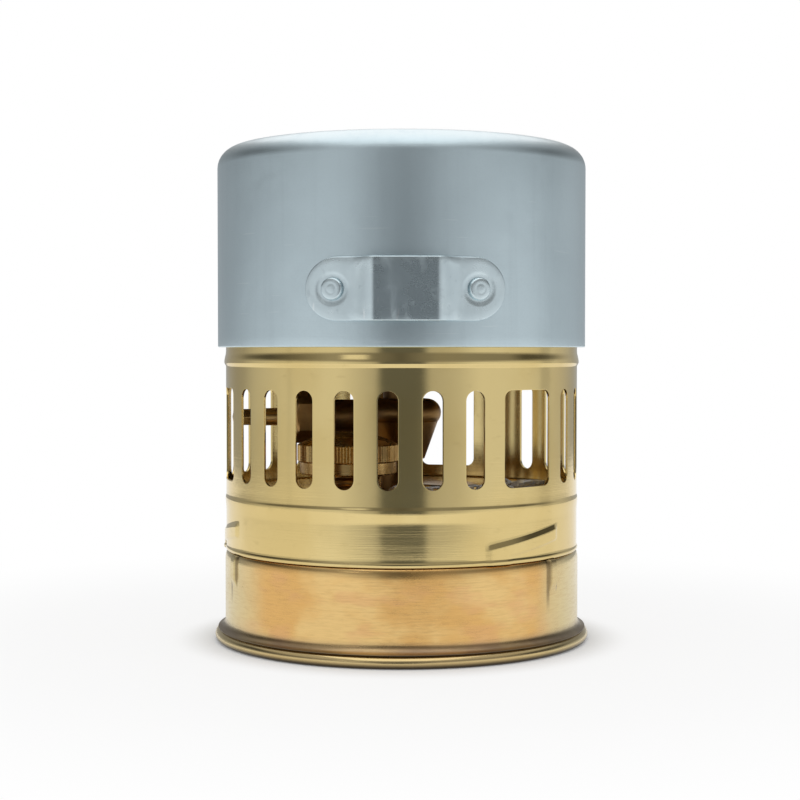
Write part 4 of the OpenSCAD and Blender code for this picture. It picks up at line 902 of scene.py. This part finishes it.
pressed_aluminium = new_finish("pressed_aluminium", bracket_paint, 0.0002)
BRACKET_ANGLE, BRACKET_Z, BRACKET_SHEET = 1.2, 91.4, 0.9
FOOT_R, BRIDGE_Y, HALF_H = 49.85, 51.5, 7.7
FOOT_X, STEP_X, STEP_W, RIVET_X, RIVET_TURN, END_X = 10.5, 12.6, 5.0, 17.7, 20.8, 24.3


def strap_front(x):
    """How far the strip's front stands from the axis plane: feet round the cup, smooth steps, a flat bridge."""
    foot = math.sqrt(FOOT_R * FOOT_R - x * x)
    share = min(1, max(0, (STEP_X - abs(x)) / STEP_W))
    share = share * share * (3 - 2 * share)
    return foot + (BRIDGE_Y - foot) * share


def strap_point(x, z, sink=0):
    """A place on the strip's front, or sunk behind it."""
    return Vector((x, -strap_front(x) + sink, z)) * MM


def foot_loop(rows):
    """The outline of a foot, from the inner side's foot upward and round: the inner side, then the rounded end."""
    inner = [(FOOT_X, -HALF_H + 2 * HALF_H * k / rows) for k in range(rows + 1)]
    top = [(FOOT_X + (END_X - HALF_H - FOOT_X) * k / 4, HALF_H) for k in range(1, 4)]
    end = arc(END_X - HALF_H, 0, HALF_H, 90, -90, 24)
    return inner + top + end + [(x, -z) for x, z in top[::-1]]


strap = bmesh.new()
rows = 10
for side in (-1, 1):
    loop = foot_loop(rows)
    rings = [[strap.verts.new(strap_point(side * x, z)) for x, z in loop]]
    for reach, sink in ((0.5, 0), (4.4, 0), (4.1, 0.03), (3.75, 0.14), (3.4, 0.25), (3.05, 0.28), (1.5, 0.28)):
        ring = []
        for x, z in loop:
            ray = Vector((x - RIVET_X, z))
            ray = ray * (1 - reach) + ray.normalized() * 4.3 * reach if reach < 1 else ray.normalized() * reach
            ring.append(strap.verts.new(strap_point(side * (RIVET_X + ray.x), ray.y, sink)))
        rings.append(ring)
    for outer, inner in zip(rings, rings[1:]):
        for k in range(len(outer)):
            j = (k + 1) % len(outer)
            corners = (outer[k], inner[k], inner[j], outer[j])
            strap.faces.new(corners if side > 0 else corners[::-1])
steps = 44
grid = [[strap.verts.new(strap_point(-FOOT_X + 2 * FOOT_X * i / steps, -HALF_H + 2 * HALF_H * k / rows))
         for k in range(rows + 1)] for i in range(steps + 1)]
skin(strap, grid, closed=False)
bmesh.ops.remove_doubles(strap, verts=strap.verts, dist=0.003 * MM)
bmesh.ops.recalc_face_normals(strap, faces=strap.faces)
if sum(face.normal.y for face in strap.faces) > 0:
    bmesh.ops.reverse_faces(strap, faces=strap.faces)
strap.transform(Matrix.Translation((0, 0, BRACKET_Z * MM)) @ Matrix.Rotation(math.radians(BRACKET_ANGLE), 4, "Z"))
bracket = new_piece("handle_bracket_strip", strap, pressed_aluminium)
thicken(bracket, BRACKET_SHEET)
soften(bracket, 0.3, 3)
make_plain(bracket, crease=40)
fit(bracket, "cup", "aluminium", "handle_bracket")


# Bracket rivets: two soft aluminium rivets with low domed heads, set from outside and flattened inside the cup.
rivet_section = ([(0, -2.3), (2.5, -2.3), (2.7, -2.1), (2.8, -1.8), (1.5, -1.75), (1.5, -0.4), (2.55, -0.4)]
                 + [(2.75, -0.25), (2.8, 0), (2.74, 0.25)] + arc(2.2, 0.2, 0.5, 12, 80, 5)
                 + [(1.9, 0.76), (1.5, 0.79), (1.3, 0.76), (1.1, 0.76), (0.9, 0.8), (0.5, 0.84), (0, 0.85)])
place = Matrix.Translation(at_angle(0, FOOT_R + 0.05, BRACKET_Z)) @ Matrix.Rotation(math.radians(90), 4, "X")
rivets = new_piece("bracket_rivet_pair", spin(rivet_section, 40, place), pressed_aluminium)
run_group(rivets, round_axis, Count=2, First=math.radians(BRACKET_ANGLE - RIVET_TURN),
          Step=math.radians(2 * RIVET_TURN), Finish=pressed_aluminium)
make_plain(rivets)
fit(rivets, "cup", "aluminium", "bracket_rivet_1", "bracket_rivet_2")


# Studio: a white table that ends a little way in front of the stove, a pale room that is dark behind the camera,
# and three soft lamps. The table is white where it is seen or mirrored, with a share of plain paint that keeps the
# stove's shadow. The camera stands where the photograph was taken.
table_finish = bpy.data.materials.new("white_table")
tree = blank_tree(table_finish)
rays = tree.node("ShaderNodeLightPath", {}, {})
seen = rays.other("Is Camera Ray").math("MAXIMUM", rays.other("Is Glossy Ray") * 0.9)
seen = seen.math("MAXIMUM", rays.other("Is Transmission Ray"))
place = tree.node("ShaderNodeTexCoord", {}, {}, "Object")
away = tree.node("ShaderNodeVectorMath", {"operation": "LENGTH"}, {0: place}, "Value")
# Painted shade round the stove: the glow fades out toward its foot, from 6.2 to 4.5 cm, and is a fifth weaker out to
# 9 cm, reaching full strength at 20 cm.
share = seen * away.rise(0.045, 0.062) * (0.8 + away.rise(0.09, 0.2) * 0.2)
glow = tree.node("ShaderNodeEmission", {}, {"Color": (1, 1, 1, 1), "Strength": 1.0})
paint = tree.node("ShaderNodeBsdfDiffuse", {}, {"Color": (0.9, 0.9, 0.9, 1)})
both = tree.node("ShaderNodeMixShader", {}, {0: share, 1: paint, 2: glow})
tree.node("ShaderNodeOutputMaterial", {}, {"Surface": both})

table_mesh = bmesh.new()
table_corners = ((-0.45, -0.24), (0.45, -0.24), (0.45, 0.6), (-0.45, 0.6))
table_mesh.faces.new([table_mesh.verts.new((x, y, 0)) for x, y in table_corners])
table = new_piece("table", table_mesh, table_finish)

world = bpy.data.worlds.new("studio")
bpy.context.scene.world = world
tree = blank_tree(world)
rays = tree.node("ShaderNodeLightPath", {}, {})
way = tree.node("ShaderNodeTexCoord", {}, {}, "Generated")
way = tree.node("ShaderNodeSeparateXYZ", {}, {"Vector": way})
side, ahead, up = way, way.other("Y"), way.other("Z")
shades = ((-180, 0.42), (-136, 0.37), (-122, 0.4), (-108, 0.56), (-93, 0.65), (-78, 0.75), (-76, 0.6), (-74, 0.76),
          (-40, 0.8), (-27, 0.64), (-16, 0.5), (-12, 0.14), (13, 0.14), (17, 0.52), (35, 0.62), (51, 0.8), (87, 0.78),
          (99, 0.7), (101, 0.53), (110, 0.53), (112, 0.66), (126, 0.6), (146, 0.42), (180, 0.42))
turn = tree.math("ARCTAN2", side, 0 - ahead) / math.tau + 0.5
stops = [(0.5 + angle / 360, (shade, shade + 0.01, shade + 0.02)) for angle, shade in shades]
room = tree.node("ShaderNodeValToRGB", {"stops": stops}, {0: turn})
glooms = ((-180, 0.3), (-132, 0.25), (-118, 0.07), (-94, 0.08), (-68, 0.22), (-46, 0.36), (-30, 0.3), (0, 0.12),
          (24, 0.3), (74, 0.26), (86, 0.09), (116, 0.08), (132, 0.25), (180, 0.3))
stops = [(0.5 + angle / 360, (shade, shade, shade)) for angle, shade in glooms]
corner = tree.node("ShaderNodeValToRGB", {"stops": stops}, {0: turn})
gloom = tree.mix(up.rise(0.08, 0.28), room, corner)
glint = (turn - 0.382).rise(0, 0.02) * (0.448 - turn).rise(0, 0.02)
glint = glint * up.rise(0.32, 0.37) * (0.47 - up).rise(0, 0.05)
gloom = tree.mix(glint, gloom, (1, 1, 1))
ceiling = tree.mix(up.rise(0.47, 0.68), gloom, (0.52, 0.52, 0.52))
mirrored = tree.node("ShaderNodeBackground", {}, {"Color": ceiling, "Strength": 1.0})
seen = tree.node("ShaderNodeBackground", {}, {"Color": (1, 1, 1, 1), "Strength": 1.0})
plain = tree.node("ShaderNodeBackground", {}, {"Color": (1, 1, 1, 1), "Strength": 0.6})
glossy = rays.other("Is Glossy Ray").math("MAXIMUM", rays.other("Is Transmission Ray"))
light = tree.node("ShaderNodeMixShader", {}, {0: glossy, 1: plain, 2: mirrored})
light = tree.node("ShaderNodeMixShader", {}, {0: rays.other("Is Camera Ray"), 1: light, 2: seen})
tree.node("ShaderNodeOutputWorld", {}, {"Surface": light})

for name, place, aim, width, height, power in (
        ("lamp_left", (-0.75, -0.45, 0.5), (0, 0, 0.06), 0.5, 0.8, 0.7),
        ("lamp_right", (0.8, -0.35, 0.5), (0, 0, 0.06), 0.5, 0.8, 0.7),
        ("lamp_top", (0, -0.03, 0.26), (0, -0.03, 0), 0.27, 0.44, 0.3)):
    lamp = bpy.data.lights.new(name, "AREA")
    lamp.shape = "RECTANGLE"
    lamp.size = width
    lamp.size_y = height
    lamp.energy = power
    holder = bpy.data.objects.new(name, lamp)
    holder.location = place
    holder.rotation_euler = (Vector(aim) - Vector(place)).to_track_quat("-Z", "Y").to_euler()
    holder.visible_camera = False
    holder.visible_glossy = name == "lamp_top"
    bpy.context.scene.collection.objects.link(holder)

eye = bpy.data.cameras.new("camera")
eye.lens = 74.5
eye.sensor_width = 36
eye.clip_start = 0.01
camera = bpy.data.objects.new("camera", eye)
camera.location = (-0.0004, -0.4441, 0.07696)
camera.rotation_euler = (math.pi / 2 - 0.03076, 0, 0)
bpy.context.scene.collection.objects.link(camera)
bpy.context.scene.camera = camera
bpy.context.scene.view_settings.view_transform = "Standard"
